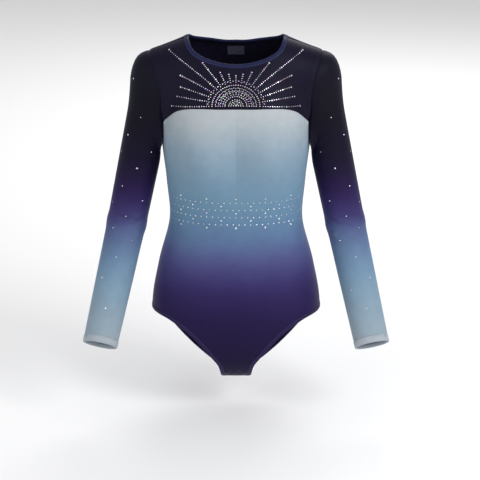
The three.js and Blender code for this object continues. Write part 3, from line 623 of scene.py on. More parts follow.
def across_line(line, inner, field, closed):
    """Unit steps over the cloth from each point of a line towards the points of inner."""
    before = np.roll(line, 1, axis=0)
    after = np.roll(line, -1, axis=0)
    if not closed:
        before[0], after[-1] = line[0], line[-1]
    side = unit(np.cross(unit(after - before), outward(field, line)))
    turn = np.sign(np.sum(side * (inner - line), axis=-1, keepdims=True))
    return side * np.where(turn == 0, 1, turn)


def over_cloth(line, side, field, distance, height):
    spot = settled(field, line + side * distance)
    return spot + outward(field, spot) * height


def strip_object(name, line, inner, field, profile, closed, mirror=False):
    """A strip along a line. profile lists (distance from the line, height over the cloth)."""
    side = across_line(line, inner, field, closed)
    rings = np.stack([over_cloth(line, side, field, d, h) for d, h in profile], axis=1)
    rings = mirrored(rings) if mirror else rings
    n, m = rings.shape[:2]
    faces = [tuple(f) for f in quads(n, m, closed, True)]
    if not closed:
        faces += [tuple(range(m)), tuple((n - 1) * m + k for k in range(m))[::-1]]
    return outward_faces(new_object(name, rings.reshape(-1, 3), faces))


def fold_profile(width):
    """Cloth turned over an edge, a little puffed, with room inside for the elastic."""
    over = [(width, 0.3), (0.72 * width, 0.62), (0.3 * width, 0.75), (-0.5, 0.5), (-1.2, -0.2)]
    under = [(-1.45, -1.3), (-1.2, -2.5), (-0.5, -3.2), (0.3 * width, -3.4), (width, -3.3)]
    room = [(width, -2.8), (0.3 * width, -2.85), (-0.4, -2.5), (-0.85, -1.3), (-0.4, -0.15)]
    return over + under + room + [(0.3 * width, 0.1), (width, 0.02)]


def flat_profile(near, far, low, high, steps=3):
    top = [(lerp(near, far, k / steps), high) for k in range(steps + 1)]
    return top + [(lerp(far, near, k / steps), low) for k in range(steps + 1)]


def stitches_object(name, line, inner, field, distance, height, mirror=False, pitch=2.7):
    """A row of single stitches beside a closed edge."""
    side = across_line(line, inner, field, True)
    path = over_cloth(line, side, field, distance, height)
    loop = np.vstack([path, path[:1]])
    run = run_along(loop)
    starts = np.arange(0, run[-1] - pitch * 0.6, pitch)
    at = lambda stops: at_run(loop, run, stops)
    points = []
    for share, radius in [(0, 0.16), (0.18, 0.27), (0.5, 0.3), (0.82, 0.27), (1, 0.16)]:
        centre = at(starts + share * pitch * 0.68)
        along = unit(at(starts + pitch * 0.68) - at(starts))
        up = outward(field, centre)
        wide = np.cross(along, up)
        lift = 0.12 * math.sin(math.pi * share)
        for a in range(6):
            turn = 2 * math.pi * a / 6
            points.append(centre + up * (lift + radius * math.sin(turn)) + wide * radius * math.cos(turn))
    points = np.stack(points, axis=1)
    points = mirrored(points) if mirror else points
    every = []
    for first in range(0, 30 * len(starts), 30):
        every += [tuple(f) for f in quads(5, 6, False, True, offset=first)]
        every.append(tuple(range(first, first + 6))[::-1])
        every.append(tuple(range(first + 24, first + 30)))
    return outward_faces(new_object(name, points.reshape(-1, 3), every))


def gems_object(name, centres, normals, sizes, mirror=False):
    """Flat-backed cut stones: a girdle, eight sloping facets and a flat table."""
    rings = [(1.0, 0.02), (1.0, 0.16), (0.82, 0.36), (0.5, 0.52)]
    sides = 8
    spin = unit(np.cross(normals, vec(0.3, 0.2, 0.93)))
    cross = np.cross(normals, spin)
    points = []
    for level, (reach, height) in enumerate(rings):
        for a in range(sides):
            turn = 2 * math.pi * (a + 0.5 * (level == 2)) / sides
            flat = spin * math.cos(turn) + cross * math.sin(turn)
            points.append(centres + sizes[:, None] / 2 * (flat * reach + normals * height))
    points = np.stack(points, axis=1)
    points = mirrored(points) if mirror else points
    each = sides * len(rings)
    every = []
    for k in range(len(centres)):
        every += [tuple(f) for f in quads(len(rings), sides, False, True, offset=each * k)]
        every.append(tuple(each * k + a for a in range(sides))[::-1])
        every.append(tuple(each * k + each - sides + a for a in range(sides)))
    return outward_faces(new_object(name, points.reshape(-1, 3), every, smooth=False))


# ---------- Materials ----------
def srgb(r, g, b):
    """A colour given in 0 to 255 as the linear values that the shader takes."""
    shares = (r / 255, g / 255, b / 255)
    return (*(c / 12.92 if c <= 0.04045 else ((c + 0.055) / 1.055) ** 2.4 for c in shares), 1)


class Material:
    """A principled material whose patterns follow the cloth as it lies at rest."""

    def __init__(self, name):
        self.material = bpy.data.materials.new(name)
        self.material.use_nodes = True
        self.tree = self.material.node_tree
        self.shader = self.tree.nodes["Principled BSDF"]

    def node(self, kind, **values):
        made = self.tree.nodes.new(kind)
        for key, value in values.items():
            setattr(made, key, value)
        return made

    def link(self, a, b):
        self.tree.links.new(a, b)

    def place(self, attribute, scale=(1, 1, 1)):
        source = self.node("ShaderNodeAttribute", attribute_name=attribute)
        mapping = self.node("ShaderNodeMapping")
        mapping.inputs["Scale"].default_value = scale
        self.link(source.outputs["Vector"], mapping.inputs["Vector"])
        return mapping.outputs["Vector"]

    def noise(self, attribute, scale, detail=2, stretch=(1, 1, 1)):
        made = self.node("ShaderNodeTexNoise")
        made.inputs["Scale"].default_value = scale
        made.inputs["Detail"].default_value = detail
        self.link(self.place(attribute, stretch), made.inputs["Vector"])
        return made.outputs["Fac"]

    def wave(self, attribute, pitch, turn, wobble=0.0):
        """Bands across one axis of an attribute, pitch metres apart."""
        made = self.node("ShaderNodeTexWave", wave_type="BANDS", bands_direction=turn)
        made.inputs["Scale"].default_value = math.pi / 10 / pitch
        made.inputs["Distortion"].default_value = wobble
        self.link(self.place(attribute), made.inputs["Vector"])
        return made.outputs["Fac"]

    def math(self, operation, a, b):
        made = self.node("ShaderNodeMath", operation=operation)
        for socket, value in zip(made.inputs, (a, b)):
            if isinstance(value, (int, float)):
                socket.default_value = value
            else:
                self.link(value, socket)
        return made.outputs[0]

    def range(self, value, low, high):
        made = self.node("ShaderNodeMapRange")
        made.inputs["To Min"].default_value = low
        made.inputs["To Max"].default_value = high
        self.link(value, made.inputs["Value"])
        return made.outputs[0]

    def ramp(self, value, stops):
        made = self.node("ShaderNodeValToRGB")
        made.color_ramp.interpolation = "B_SPLINE" if len(stops) > 3 else "LINEAR"
        elements = made.color_ramp.elements
        while len(elements) < len(stops):
            elements.new(0.5)
        for element, (place, colour) in zip(elements, stops):
            element.position = place
            element.color = srgb(*colour)
        self.link(value, made.inputs["Fac"])
        return made.outputs["Color"]

    def mix(self, factor, a, b, how="MIX"):
        made = self.node("ShaderNodeMix", data_type="RGBA", blend_type=how)
        for socket, value in ((made.inputs["Factor"], factor), (made.inputs["A"], a), (made.inputs["B"], b)):
            if isinstance(value, (int, float, tuple)):
                socket.default_value = value
            else:
                self.link(value, socket)
        return made.outputs["Result"]

    def colour(self, value):
        self.link(value, self.shader.inputs["Base Color"])

    def roughness(self, value, low, high):
        self.link(self.range(value, low, high), self.shader.inputs["Roughness"])

    def bump(self, height, distance, strength=1.0):
        made = self.node("ShaderNodeBump")
        made.inputs["Distance"].default_value = distance
        made.inputs["Strength"].default_value = strength
        self.link(height, made.inputs["Height"])
        self.link(made.outputs["Normal"], self.shader.inputs["Normal"])

    def constant(self, **values):
        for key, value in values.items():
            self.shader.inputs[key.replace("_", " ")].default_value = value


def dye_ramp(m, stops, low, high):
    """A colour that changes with height at rest. stops are (height in millimetres, colour)."""
    split = m.node("ShaderNodeSeparateXYZ")
    m.link(m.place("rest"), split.inputs[0])
    cloudy = m.math("MULTIPLY", m.math("SUBTRACT", m.noise("rest", 14, 3), 0.5), 0.03)
    height = m.math("ADD", split.outputs["Z"], cloudy)
    share = m.node("ShaderNodeMapRange")
    share.inputs["From Min"].default_value = low * MM
    share.inputs["From Max"].default_value = high * MM
    m.link(height, share.inputs["Value"])
    places = [((z - low) / (high - low), colour) for z, colour in stops]
    return m.ramp(share.outputs[0], sorted(places, key=lambda stop: stop[0]))


def knit(m, colour, tint, sheen=0.08):
    """Fine warp-knit nylon: ribs along the cloth, courses across it, a soft sheen, slight unevenness and
    shade painted between the loops.
    """
    ribs = m.wave("cloth", 0.0008, "X", 0.6)
    courses = m.wave("cloth", 0.0006, "Y", 0.4)
    loops = m.math("MULTIPLY", ribs, courses)
    uneven = m.noise("rest", 60, 4)
    shaded = m.mix(m.range(uneven, 0.0, 0.22), colour, m.mix(1.0, colour, srgb(150, 150, 158), "MULTIPLY"))
    # the colour is darkened towards black between the loops: painted shade in the hollows of the knit
    m.colour(m.mix(m.range(loops, 0.1, 0.0), shaded, (0, 0, 0, 1)))
    m.roughness(m.noise("rest", 220, 3), 0.46, 0.6)
    height = m.math("ADD", m.math("MULTIPLY", loops, 0.6), m.math("MULTIPLY", m.noise("cloth", 900, 2), 0.4))
    m.bump(height, 0.00012, 0.35)
    m.constant(Sheen_Weight=sheen, Sheen_Roughness=0.4, Sheen_Tint=tint, Specular_IOR_Level=0.08)
    return m.material


BODY_DYE = [
    (-118, (186, 191, 194)), (-157, (168, 179, 186)), (-200, (136, 158, 175)), (-267, (115, 147, 170)),
    (-329, (100, 136, 164)), (-378, (88, 108, 148)), (-408, (80, 84, 132)), (-442, (62, 56, 110)),
    (-478, (46, 34, 84)), (-530, (36, 24, 68)), (-672, (20, 14, 38)),
]
SLEEVE_DYE = [
    (-20, (20, 19, 34)), (-144, (11, 10, 20)), (-223, (20, 15, 38)), (-262, (30, 20, 54)),
    (-302, (42, 27, 75)), (-342, (62, 56, 108)), (-366, (80, 88, 134)), (-414, (107, 136, 167)),
    (-460, (124, 154, 176)), (-520, (142, 163, 178)), (-600, (162, 171, 178)),
]


def yoke_material():
    m = Material("yoke_knit")
    dark, light = srgb(17, 14, 30), srgb(25, 23, 44)
    return knit(m, m.mix(m.noise("rest", 22, 3), dark, light), srgb(110, 108, 190), 0.07)


def body_material():
    m = Material("body_dyed_knit")
    return knit(m, dye_ramp(m, BODY_DYE, -680, -110), srgb(150, 170, 226))


def sleeve_material():
    m = Material("sleeve_dyed_knit")
    return knit(m, dye_ramp(m, SLEEVE_DYE, -610, -10), srgb(150, 160, 222))


def binding_material(name, dark, light):
    """Doubled knit, finely ribbed along the edge, with shade painted between the ribs."""
    m = Material(name)
    colour = m.mix(m.noise("rest", 40, 3), dark, light)
    ribs = m.wave("cloth", 0.0011, "Y", 0.5)
    # the colour is darkened towards black between the ribs: painted shade
    m.colour(m.mix(m.range(ribs, 0.18, 0.0), colour, (0, 0, 0, 1)))
    m.roughness(m.noise("rest", 200, 2), 0.48, 0.62)
    m.bump(m.math("ADD", ribs, m.noise("cloth", 700, 2)), 0.0002, 0.4)
    m.constant(Sheen_Weight=0.08, Sheen_Roughness=0.4, Sheen_Tint=light, Specular_IOR_Level=0.12)
    return m.material


def thread_material(name, dark, light):
    """Twisted thread: slanting strands, with shade painted dark between the turns."""
    m = Material(name)
    strands = m.wave("rest", 0.00055, "DIAGONAL", 0.2)
    # dark between the strands and light on them: painted shade between the turns
    m.colour(m.mix(strands, dark, light))
    m.roughness(m.noise("rest", 400, 2), 0.4, 0.6)
    m.bump(strands, 0.0001, 0.5)
    m.constant(Sheen_Weight=0.2, Specular_IOR_Level=0.45)
    return m.material


def overlock_material():
    """The overlocked edges behind a seam: loops of thread lying across the strip."""
    m = Material("overlock_thread")
    loops = m.wave("cloth", 0.0016, "X", 1.2)
    strands = m.wave("cloth", 0.0005, "DIAGONAL", 0.3)
    m.colour(m.mix(loops, srgb(26, 22, 48), srgb(66, 62, 104)))
    m.roughness(m.noise("rest", 300, 2), 0.5, 0.7)
    m.bump(m.math("ADD", loops, m.math("MULTIPLY", strands, 0.4)), 0.0005, 0.7)
    m.constant(Sheen_Weight=0.25)
    return m.material


def elastic_material():
    """Woven elastic: lengthwise rubber cords under a white weave."""
    m = Material("woven_elastic")
    cords = m.wave("cloth", 0.0013, "Y", 0.1)
    weave = m.wave("cloth", 0.0007, "X", 0.3)
    m.colour(m.mix(m.math("MULTIPLY", cords, weave), srgb(196, 194, 186), srgb(238, 237, 230)))
    m.roughness(m.noise("rest", 300, 2), 0.6, 0.8)
    m.bump(m.math("ADD", cords, m.math("MULTIPLY", weave, 0.5)), 0.0003, 0.6)
    m.constant(Sheen_Weight=0.2)
    return m.material


def lining_material():
    """Soft tricot in cream, with fine ribs and a brushed face."""
    m = Material("tricot_lining")
    ribs = m.wave("cloth", 0.0009, "X", 0.5)
    fuzz = m.noise("cloth", 500, 4)
    m.colour(m.mix(m.noise("rest", 30, 3), srgb(214, 200, 182), srgb(232, 221, 205)))
    m.roughness(fuzz, 0.65, 0.85)
    m.bump(m.math("ADD", ribs, fuzz), 0.0003, 0.5)
    m.constant(Sheen_Weight=0.5, Sheen_Roughness=0.6)
    return m.material


def label_material():
    """Blank satin ribbon: fine crosswise weave with a low gloss."""
    m = Material("satin_label")
    weave = m.wave("cloth", 0.0005, "Y", 0.2)
    m.colour(m.mix(weave, srgb(38, 40, 66), srgb(58, 61, 92)))
    m.roughness(m.noise("cloth", 300, 2), 0.34, 0.48)
    m.bump(weave, 0.00015, 0.4)
    m.constant(Sheen_Weight=0.15, Specular_IOR_Level=0.6)
    return m.material


def gem_material(name, stops):
    """Cut crystal on a foil back. The attribute tint, 0 to 1, gives each stone its own colour, and random
    spots are whitened as painted glints.
    """
    m = Material(name)
    tint = m.node("ShaderNodeAttribute", attribute_name="tint")
    foil = m.ramp(tint.outputs["Fac"], stops)
    painted_glints = m.noise("rest", 1500, 1)
    # the foil colour is mixed towards white in random spots: painted glints
    m.colour(m.mix(m.range(painted_glints, 0.0, 0.35), foil, (1, 1, 1, 1)))
    m.roughness(painted_glints, 0.05, 0.16)
    m.bump(m.noise("rest", 2500, 1), 0.00005, 0.25)
    m.constant(Metallic=0.82, Coat_Weight=0.6, Coat_Roughness=0.04)
    return m.material


CLEAR = [
    (0.0, (206, 210, 224)), (0.3, (232, 234, 240)), (0.5, (178, 214, 176)), (0.64, (226, 204, 150)),
    (0.78, (140, 176, 228)), (0.9, (196, 172, 226)), (1.0, (222, 176, 200)),
]
ROSE = [
    (0.0, (126, 104, 186)), (0.3, (178, 150, 206)), (0.55, (206, 150, 190)), (0.8, (214, 188, 206)),
    (1.0, (226, 220, 232)),
]


# ---------- Pieces ----------
CLOTH = 0.8


def store(obj, name, vectors):
    """Keeps one vector a vertex as a named attribute, for the materials."""
    attribute = obj.data.attributes.new(name, "FLOAT_VECTOR", "POINT")
    attribute.data.foreach_set("vector", np.asarray(vectors, dtype=np.float32).ravel())


def finish_piece(obj, material, body, replaced=(), cloth=None):
    """Gives a piece its material and its patterns' places, hangs a bodice piece on its body or bakes the
    transform of any other, and hides the CAD nodes that it stands for.
    """
    rest = np.empty(len(obj.data.vertices) * 3, dtype=np.float32)
    obj.data.vertices.foreach_get("co", rest)
    store(obj, "rest", rest)
    if cloth is not None:
        store(obj, "cloth", cloth)
    obj.data.materials.append(material)
    if body == "bodice":
        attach(obj, body)
    else:
        across_armhole(obj, body)
    if replaced:
        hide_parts(*replaced)
    return obj


def across_armhole(obj, body):
    """Bakes the piece's transform into its mesh; the armhole's slant is worked out, but nothing bends the
    cloth.
    """
    top, bottom = vec(shoulder_half, 0, armhole_top_z), vec(chest_half, 0, armpit_z)
    slant = unit(top - bottom)
    outwards = vec(slant[2], 0, -slant[0])
    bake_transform(obj)


def grid_cloth(grid):
    """Where each point lies on its cloth: along its row and down its column, in metres from the middle."""
    along = np.cumsum(np.insert(np.linalg.norm(np.diff(grid, axis=1), axis=-1), 0, 0, axis=1), axis=1)
    down = np.cumsum(np.insert(np.linalg.norm(np.diff(grid, axis=0), axis=-1), 0, 0, axis=0), axis=0)
    return np.stack([along - along[:, [along.shape[1] // 2]], down, 0 * down], axis=-1).reshape(-1, 3) * MM


def panel(name, grid, field, relief, material, body, node, wraps=False, seam=None, flip=False):
    """A panel of cloth: the form, its relief, and its seamed edges pressed in."""
    grid = refined(grid, 0)
    if not wraps:
        grid = settled(field, refined(grid, 1))
    normals = outward(field, grid)
    before, after = edge_distance(grid, 0)
    height = press(before) + press(after)
    if not wraps:
        before, after = edge_distance(grid, 1)
        height = height + press(before) + press(after)
    if seam is not None:
        height = height + press(np.linalg.norm(grid - grid[:, [seam]], axis=-1), 0.7, 1.5)
    height = height + relief(grid)
    grid = grid + normals * height[..., None]
    where = grid_cloth(grid)
    if flip:
        grid, normals = mirrored(grid), mirrored(normals)
    obj = sheet_object(name, grid, normals, 0, -CLOTH, wraps)
    return finish_piece(obj, material, body, [node], np.vstack([where, where]))


def ring_cloth(obj, rings, width):
    """The same for a strip of rings: along it, and round its section."""
    count = len(obj.data.vertices) // rings
    along, across = np.meshgrid(np.arange(count), np.arange(rings), indexing="ij")
    points = np.empty(len(obj.data.vertices) * 3)
    obj.data.vertices.foreach_get("co", points)
    first = points.reshape(count, rings, 3)[:, 0]
    run = run_along(first)
    return np.stack([run[along], across / rings * width * MM, 0 * along], axis=-1).reshape(-1, 3)


def strip_piece(name, line, inner, field, profile, closed, material, body, nodes, mirror=False):
    obj = strip_object(name, line, inner, field, profile, closed, mirror)
    span = 2 * (max(d for d, _ in profile) - min(d for d, _ in profile))
    return finish_piece(obj, material, body, nodes, ring_cloth(obj, len(profile), span))


def stitch_piece(name, line, inner, field, distance, height, material, body, mirror=False):
    obj = stitches_object(name, line, inner, field, distance, height, mirror)
    return finish_piece(obj, material, body)


def trimmed_line(line, inner, start, end):
    """The part of a line between two distances from its ends."""
    run = run_along(line)
    stops = np.linspace(start, run[-1] - end, len(line))
    return at_run(line, run, stops), at_run(inner, run, stops)


UNDER_COLUMN = (ABOVE + BELOW) * FINE  # of the sleeve's grid, along the underarm


def add_panels():
    materials = {"yoke": yoke_material(), "body": body_material()}
    for side in ("front", "back"):
        for kind, material in materials.items():
            node = f"{side}_{kind}"
            panel(f"{node}_cloth", grids[node], bodice_field, bodice_relief, material,
                  "bodice", node)
    material = sleeve_material()
    for side, turn in SIDES.items():
        node = f"sleeve_{side}"
        panel(f"sleeve_cloth_{side}", grids["sleeve"], sleeve_field_down, sleeve_relief, material,
              node, node, wraps=True, seam=UNDER_COLUMN, flip=turn < 0)


def sleeve_field_down(p):
    """The sleeve's field: the shoulder girdle fades out below the cap."""
    w = ease(shoulder[2] - 60 - p[..., 2], 0, 60)
    return lerp(sleeve_field(p), arm_field(p), w)


def neck_loop():
    span = slice((ACROSS - NECK) * FINE, (ACROSS + NECK) * FINE + 1)
    front, back = grids["front_yoke"], grids["back_yoke"]
    join = lambda row: np.vstack([front[row, span], back[row, span][::-1][1:-1]])
    return join(0), join(FINE)


def leg_loop():
    rows = slice(SIDE_ROWS * FINE, None)
    front, back = grids["front_body"], grids["back_body"]
    join = lambda column: np.vstack([front[rows, column], back[rows, column][::-1][1:-1]])
    return join(-1), join(-4)


def cuff_loop():
    return grids["sleeve"][-1], grids["sleeve"][-6]


NECK_WIDTH, LEG_WIDTH, CUFF_WIDTH = 7.5, 7, 12


def add_edge(loop, field, width, colours, names, nodes, stitch, tape, body="bodice", mirror=False):
    """A folded edge with a row of stitches and a tape of elastic inside. stitch is its place and height."""
    (line, inner), (cloth, thread, elastic) = loop, colours
    fold, row, band = names
    strip_piece(fold, line, inner, field, fold_profile(width), True, cloth, body, nodes[:1], mirror)
    stitch_piece(row, line, inner, field, width - stitch[0], stitch[1], thread, body, mirror)
    inside = flat_profile(1.4, tape - 1.4, -2.3, -1.2)
    strip_piece(band, line, inner, field, inside, True, elastic, body, nodes[1:], mirror)


def add_edges():
    neck = binding_material("neck_binding_knit", srgb(24, 27, 58), srgb(33, 37, 74))
    leg = binding_material("leg_hem_knit", srgb(33, 22, 62), srgb(44, 32, 78))
    cuff = binding_material("cuff_hem_knit", srgb(152, 163, 174), srgb(176, 184, 190))
    dark_thread = thread_material("navy_thread", srgb(26, 28, 60), srgb(50, 53, 92))
    leg_thread = thread_material("violet_thread", srgb(34, 26, 66), srgb(66, 54, 108))
    pale_thread = thread_material("silver_thread", srgb(146, 156, 170), srgb(196, 202, 208))
    elastic = elastic_material()
    add_edge(neck_loop(), bodice_field, NECK_WIDTH, (neck, dark_thread, elastic),
             ["neck_binding", "neck_binding_stitches", "neck_elastic_tape"], ["neck_band", "neck_elastic"],
             (1.5, 0.62), NECK_WIDTH)
    for side, turn in SIDES.items():
        named = lambda *kinds: [f"{kind}_{side}" for kind in kinds]
        add_edge(leg_loop(), bodice_field, LEG_WIDTH, (leg, leg_thread, elastic),
                 named("leg_hem", "leg_hem_stitches", "leg_elastic_tape"), named("leg_band", "leg_elastic"),
                 (1.4, 0.62), LEG_WIDTH, mirror=turn < 0)
        add_edge(cuff_loop(), arm_field, CUFF_WIDTH, (cuff, pale_thread, elastic),
                 named("cuff_hem_fold", "cuff_hem_stitches", "wrist_elastic_tape"),
                 named("cuff_hem", "wrist_elastic"), (1.6, 0.55), 8, f"sleeve_{side}", turn < 0)


def add_seams():
    """The overlocked seam allowances inside the garment."""
    m = overlock_material()
    flat = flat_profile(-3, 3, -2.4, -1.2)
    beside = flat_profile(0.3, 6, -3.3, -2.1)
    clear_of_band, clear_of_seam = NECK_WIDTH + 1, 7.5
    clear_of_armhole = 23  # where a seam meets the armhole aslant

    def seam(name, lines, node, ends, body="bodice", field=bodice_field, mirror=False):
        line, inner = trimmed_line(*lines, *ends)
        strip_piece(name, line, inner, field, flat, False, m, body, [node], mirror)

    for side in ("front", "back"):
        yoke = grids[f"{side}_yoke"]
        seam(f"{side}_yoke_overlock", (yoke[-1], yoke[-4]), f"{side}_yoke_seam", (clear_of_armhole,) * 2)
    body = grids["front_body"]
    seam("crotch_overlock", (body[-1], body[-3]), "crotch_seam", (LEG_WIDTH + 2,) * 2)
    for side, turn in SIDES.items():
        mirror = turn < 0
        seam(f"shoulder_overlock_{side}", (shoulder_seam, shoulder_seam + vec(0, -4, 0)),
             f"shoulder_seam_{side}", (clear_of_band, clear_of_seam), mirror=mirror)
        line = body[: SIDE_ROWS * FINE + 1]
        seam(f"side_overlock_{side}", (line[:, -1], line[:, -3]), f"side_seam_{side}",
             (clear_of_seam, LEG_WIDTH + 4), mirror=mirror)
        sleeve = grids["sleeve"]
        seam(f"underarm_overlock_{side}", (sleeve[:, UNDER_COLUMN], sleeve[:, UNDER_COLUMN + 2]),
             f"underarm_seam_{side}", (10, CUFF_WIDTH + 2), f"sleeve_{side}", sleeve_field_down, mirror)
        inner = armhole_loop * vec(0, 1, 1)
        strip_piece(f"armhole_overlock_{side}", armhole_loop, inner, bodice_field, beside, True, m,
                    "bodice", [f"armhole_seam_{side}"], mirror)


def lining_piece(name, grid, top, bottom, node, material):
    grid = refined(grid, 0, extra=())
    normals = outward(bodice_field, grid)
    obj = sheet_object(name, grid, normals, top, bottom)
    where = grid_cloth(grid)
    return finish_piece(obj, material, "bodice", [node], np.vstack([where, where]))


def add_linings(material):
    rows, margin = 6 * FINE, 3 * FINE
    chest = grids["front_body"][FINE : FINE + rows + 1, margin:-margin]
    lining_piece("front_lining_cloth", chest, -1.25, -1.85, "front_lining", material)
    middle, reach = grids["front_body"].shape[1] // 2, 5 * FINE
    rows = 5 * FINE + 1
    strips = [grids["front_body"][-rows:], grids["back_body"][-rows:-1][::-1]]
    gusset = np.concatenate(strips)[:, middle - reach : middle + reach + 1]
    lining_piece("crotch_lining_cloth", gusset, -3.05, -3.65, "crotch_lining", material)


def label_piece(name, centre, width, height, node, material):
    """A blank ribbon label, its corners curling a little off the cloth."""
    normal = outward(bodice_field, centre)
    down = unit(vec(0, 0, -1) + normal * normal[2])
    across = np.cross(down, normal)
    v, u = np.meshgrid(np.linspace(-0.5, 0.5, 25), np.linspace(-0.5, 0.5, 25), indexing="ij")
    grid = settled(bodice_field, centre + (u * width)[..., None] * across + (v * height)[..., None] * down)
    normals = outward(bodice_field, grid)
    curl = np.maximum(v, 0) ** 2 * 3.2 * (1 + 0.4 * np.sin(u * 9))
    obj = sheet_object(name, grid - normals * curl[..., None], normals, -1.7, -2.0)
    where = grid_cloth(grid)
    return finish_piece(obj, material, "bodice", [node], np.vstack([where, where]))


def add_labels(material):
    width, height, clearance = 32, 22, 3
    below_neck = facing(0, back_neck - NECK_WIDTH - height / 2 - clearance, 1)
    label_piece("size_label_ribbon", below_neck, width, height, "size_label", material)
    beside_seam = from_chart(np.array(quarter * 0.86), np.array(0.62), 1)
    label_piece("care_label_ribbon", beside_seam, 28, 42, "care_label", material)


# ---------- Stones ----------
GEM_LIFT = 0.05
GEM = {"short_ray": 1.8, "ray": 2.0, "hub": 2.1, "arc": 2.2, "dot": 2.3, "end": 2.9, "large": 3.2}  # widths


def gem_piece(name, points, sizes, tints, material, body, field, relief, nodes=(), mirror=False):
    points, sizes = np.asarray(points), np.asarray(sizes, dtype=float)
    normals = outward(field, points)
    points = points + normals * (relief(points) + GEM_LIFT)[..., None]
    obj = gems_object(name, points, normals, sizes, mirror)
    each = len(obj.data.vertices) // len(points)
    attribute = obj.data.attributes.new("tint", "FLOAT", "POINT")
    attribute.data.foreach_set("value", np.repeat(np.asarray(tints, dtype=np.float32), each))
    return finish_piece(obj, material, body, nodes)


def bodice_gems(name, points, sizes, tints, material, nodes=()):
    gem_piece(name, points, sizes, tints, material, "bodice", bodice_field, bodice_relief, nodes)


BURST = {
    "lift": 7,  # the centre above the yoke seam
    "steps": 16,  # main rays from level to level
    "rays": [123, 114, 112, 127, 176, 114, 80, 69, 67],  # length of each, from level to upright
    "hub": [4.5, 9, 13],
    "arcs": [20, 44],
    "outer": 52.5,
    "rise": 0.82,  # the upright rays' reach, seen from ahead
    "droop": 0.0007,  # fall of the level rays towards the armholes, per square millimetre
    "pitch": 4.3,
    "clearance": 3.1,  # between the middles of two stones, at least
}


def burst_point(angle, reach):
    x = np.cos(angle) * reach
    z = np.sin(angle) * reach * BURST["rise"] - x * x * BURST["droop"]
    return facing(x, yoke_z + BURST["lift"] + z, -1)


def ray_spots(k):
    """The stones of one ray: every second ray is short and lies between the two arcs."""
    inner_arc, outer_arc = BURST["arcs"]
    angle = math.pi * k / (BURST["steps"] * 2)
    if k % 2:
        short = np.arange(inner_arc + BURST["pitch"], outer_arc - 2, BURST["pitch"] * 1.6)
        return [(angle, reach, GEM["short_ray"]) for reach in short] + [(angle, BURST["outer"], GEM["dot"])]
    main = k // 2
    length = BURST["rays"][min(main, BURST["steps"] - main)]
    reaches = np.arange(inner_arc, length, BURST["pitch"])
    large = [n == len(reaches) - 1 or n % 6 == 5 for n in range(len(reaches))]
    return [(angle, reach, GEM["end" if big else "ray"]) for reach, big in zip(reaches, large)]


def ring_spots(reach, size):
    count = round(math.pi * reach / BURST["pitch"])
    return [(math.pi * n / count, reach, size) for n in range(count + 1)]


def spread_out(points, clearance):
    """The points that keep clear of every earlier point."""
    keep = []
    for k, p in enumerate(points):
        if all(np.linalg.norm(p - points[j]) > clearance for j in keep):
            keep.append(k)
    return keep


def add_sunburst(clear, rose):
    """Rays of stones from the middle of the yoke seam, tied by arcs round a cluster of mixed stones."""
    spots = [(quarter, 0.5, GEM["end"])]
    for reach in BURST["hub"]:
        spots += ring_spots(reach, GEM["hub"])
    for reach in BURST["arcs"]:
        spots += ring_spots(reach, GEM["arc"])
    for k in range(BURST["steps"] * 2 + 1):
        spots += ray_spots(k)
    points = np.array([burst_point(angle, reach) for angle, reach, _ in spots])
    keep = spread_out(points, BURST["clearance"])
    points = points[keep]
    reach = np.array([spots[k][1] for k in keep])
    sizes = np.array([spots[k][2] for k in keep]) * (0.92 + 0.16 * random.random(len(keep)))
    tint = random.random(len(keep))
    rosy = (reach > BURST["arcs"][0] - 2) & (random.random(len(keep)) < 0.5)
    for name, some, material, nodes in [
        ("sunburst_rose_gems", rosy, rose, []),
        ("sunburst_clear_gems", ~rosy, clear, ["sunburst_stones"]),
    ]:
        bodice_gems(name, points[some], sizes[some], tint[some], material, nodes)


WAIST = {"first": -296, "apart": 14.7, "pitch": 11, "rows": 4, "half_count": 13, "large_pitch": 55}


def along_front(z, distances):
    """Points of the front at height z, at distances from the middle along the cloth."""
    x = np.linspace(0, STATIONS["half"][1] - 5, 120)
    row = facing(x, z, -1)
    run = run_along(row)
    distances = np.asarray(distances, dtype=float)
    return facing(np.sign(distances) * np.interp(np.abs(distances), run, x), z, -1)


def add_waist(clear):
    for row in range(WAIST["rows"]):
        offset = 0.5 * (row % 2)
        steps = np.arange(-WAIST["half_count"], WAIST["half_count"] + 1 - (row % 2)) + offset
        z = WAIST["first"] - row * WAIST["apart"]
        points = along_front(z, steps * WAIST["pitch"])
        sizes = 2.0 + 0.5 * random.random(len(points))
        tints = random.random(len(points))
        bodice_gems(f"waist_gems_row_{row + 1}", points, sizes, tints, clear, [f"waist_stones_row_{row + 1}"])
    points = []
    for row in range(WAIST["rows"] + 1):
        z = WAIST["first"] + (0.55 - row) * WAIST["apart"]
        steps = np.arange(-2, 3) if row % 2 == 0 else np.arange(-2, 2) + 0.5
        points.append(along_front(z, steps * WAIST["large_pitch"]))
    points = np.vstack(points)
    sizes = np.full(len(points), GEM["large"])
    bodice_gems("waist_large_gems", points, sizes, random.random(len(points)), clear)


def add_sleeve_gems(clear):
    """A staggered scatter down the front and outside of each sleeve."""
    rings = grids["sleeve"]
    spots = []
    columns = [0.07, 0.16, 0.25, 0.34, -0.05]  # shares of the way round, from the outside to the front
    rows = 24
    for k in range(rows):
        ring = int(len(rings) * (0.05 + 0.9 * k / (rows - 1)))
        share = columns[(k * 2) % len(columns)] + 0.025 * (random.random() - 0.5)
        spots.append(rings[ring, int(share * rings.shape[1]) % rings.shape[1]])
    sizes = np.where(np.arange(rows) % 3 == 0, GEM["large"], GEM["dot"])
    for side, turn in SIDES.items():
        gem_piece(f"sleeve_gems_{side}", spots, sizes, random.random(rows), clear, f"sleeve_{side}",
                  sleeve_field_down, sleeve_relief, mirror=turn < 0)


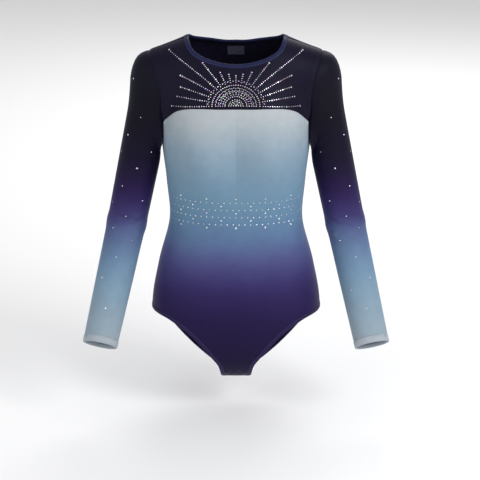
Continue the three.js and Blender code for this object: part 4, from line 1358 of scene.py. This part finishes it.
random = np.random.default_rng(7)
add_panels()
add_edges()
add_seams()
add_linings(lining_material())
add_labels(label_material())
clear_gems = gem_material("clear_crystal", CLEAR)
rose_gems = gem_material("rose_crystal", ROSE)
add_sunburst(clear_gems, rose_gems)
add_waist(clear_gems)
add_sleeve_gems(clear_gems)


# ---------- Studio ----------
def add_floor():
    size, z = 6, (crotch_z - 60) * MM
    mesh = bpy.data.meshes.new("studio_floor")
    corners = [(-size, -size, z), (size, -size, z), (size, size, z), (-size, size, z)]
    mesh.from_pydata(corners, [], [(0, 1, 2, 3)])
    floor = bpy.data.objects.new("studio_floor", mesh)
    bpy.context.scene.collection.objects.link(floor)
    m = Material("studio_floor_paint")
    m.constant(Base_Color=srgb(247, 247, 248), Roughness=0.8)
    floor.data.materials.append(m.material)
    floor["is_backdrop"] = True


def add_light(name, place, size, power, target=(0, 0, -0.34)):
    data = bpy.data.lights.new(name, "AREA")
    data.size = size
    data.energy = power
    light = bpy.data.objects.new(name, data)
    light.location = place
    direction = Vector(target) - Vector(place)
    light.rotation_euler = direction.to_track_quat("-Z", "Y").to_euler()
    bpy.context.scene.collection.objects.link(light)


def add_studio():
    world = bpy.data.worlds.new("studio")
    bpy.context.scene.world = world
    world.use_nodes = True
    background = world.node_tree.nodes["Background"]
    background.inputs["Color"].default_value = (1, 1, 1, 1)
    background.inputs["Strength"].default_value = 0.62
    bpy.context.scene.view_settings.view_transform = "Standard"
    add_light("key", (2.1, -2.2, 1.4), 1.6, 68)
    add_light("fill", (-2.4, -2.0, 0.6), 2.0, 16)
    add_light("back", (0.6, 2.6, 1.4), 1.8, 36)


CAMERA_DISTANCE = 4.8
CAMERA_RISE = math.radians(16.5)
VIEW_WIDTH = 0.912
AIM = Vector((0.0075, 0, -0.395))


def add_camera():
    data = bpy.data.cameras.new("camera")
    data.lens = data.sensor_width * CAMERA_DISTANCE / VIEW_WIDTH
    camera = bpy.data.objects.new("camera", data)
    back = Vector((0, -math.cos(CAMERA_RISE), math.sin(CAMERA_RISE)))
    camera.location = AIM + back * CAMERA_DISTANCE
    camera.rotation_euler = (-back).to_track_quat("-Z", "Y").to_euler()
    bpy.context.scene.collection.objects.link(camera)
    bpy.context.scene.camera = camera


add_floor()
add_studio()
add_camera()

as_lists = lambda box: [list(corner) for corner in box]
{"cad": as_lists(cad_box), "visual": as_lists(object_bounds())}
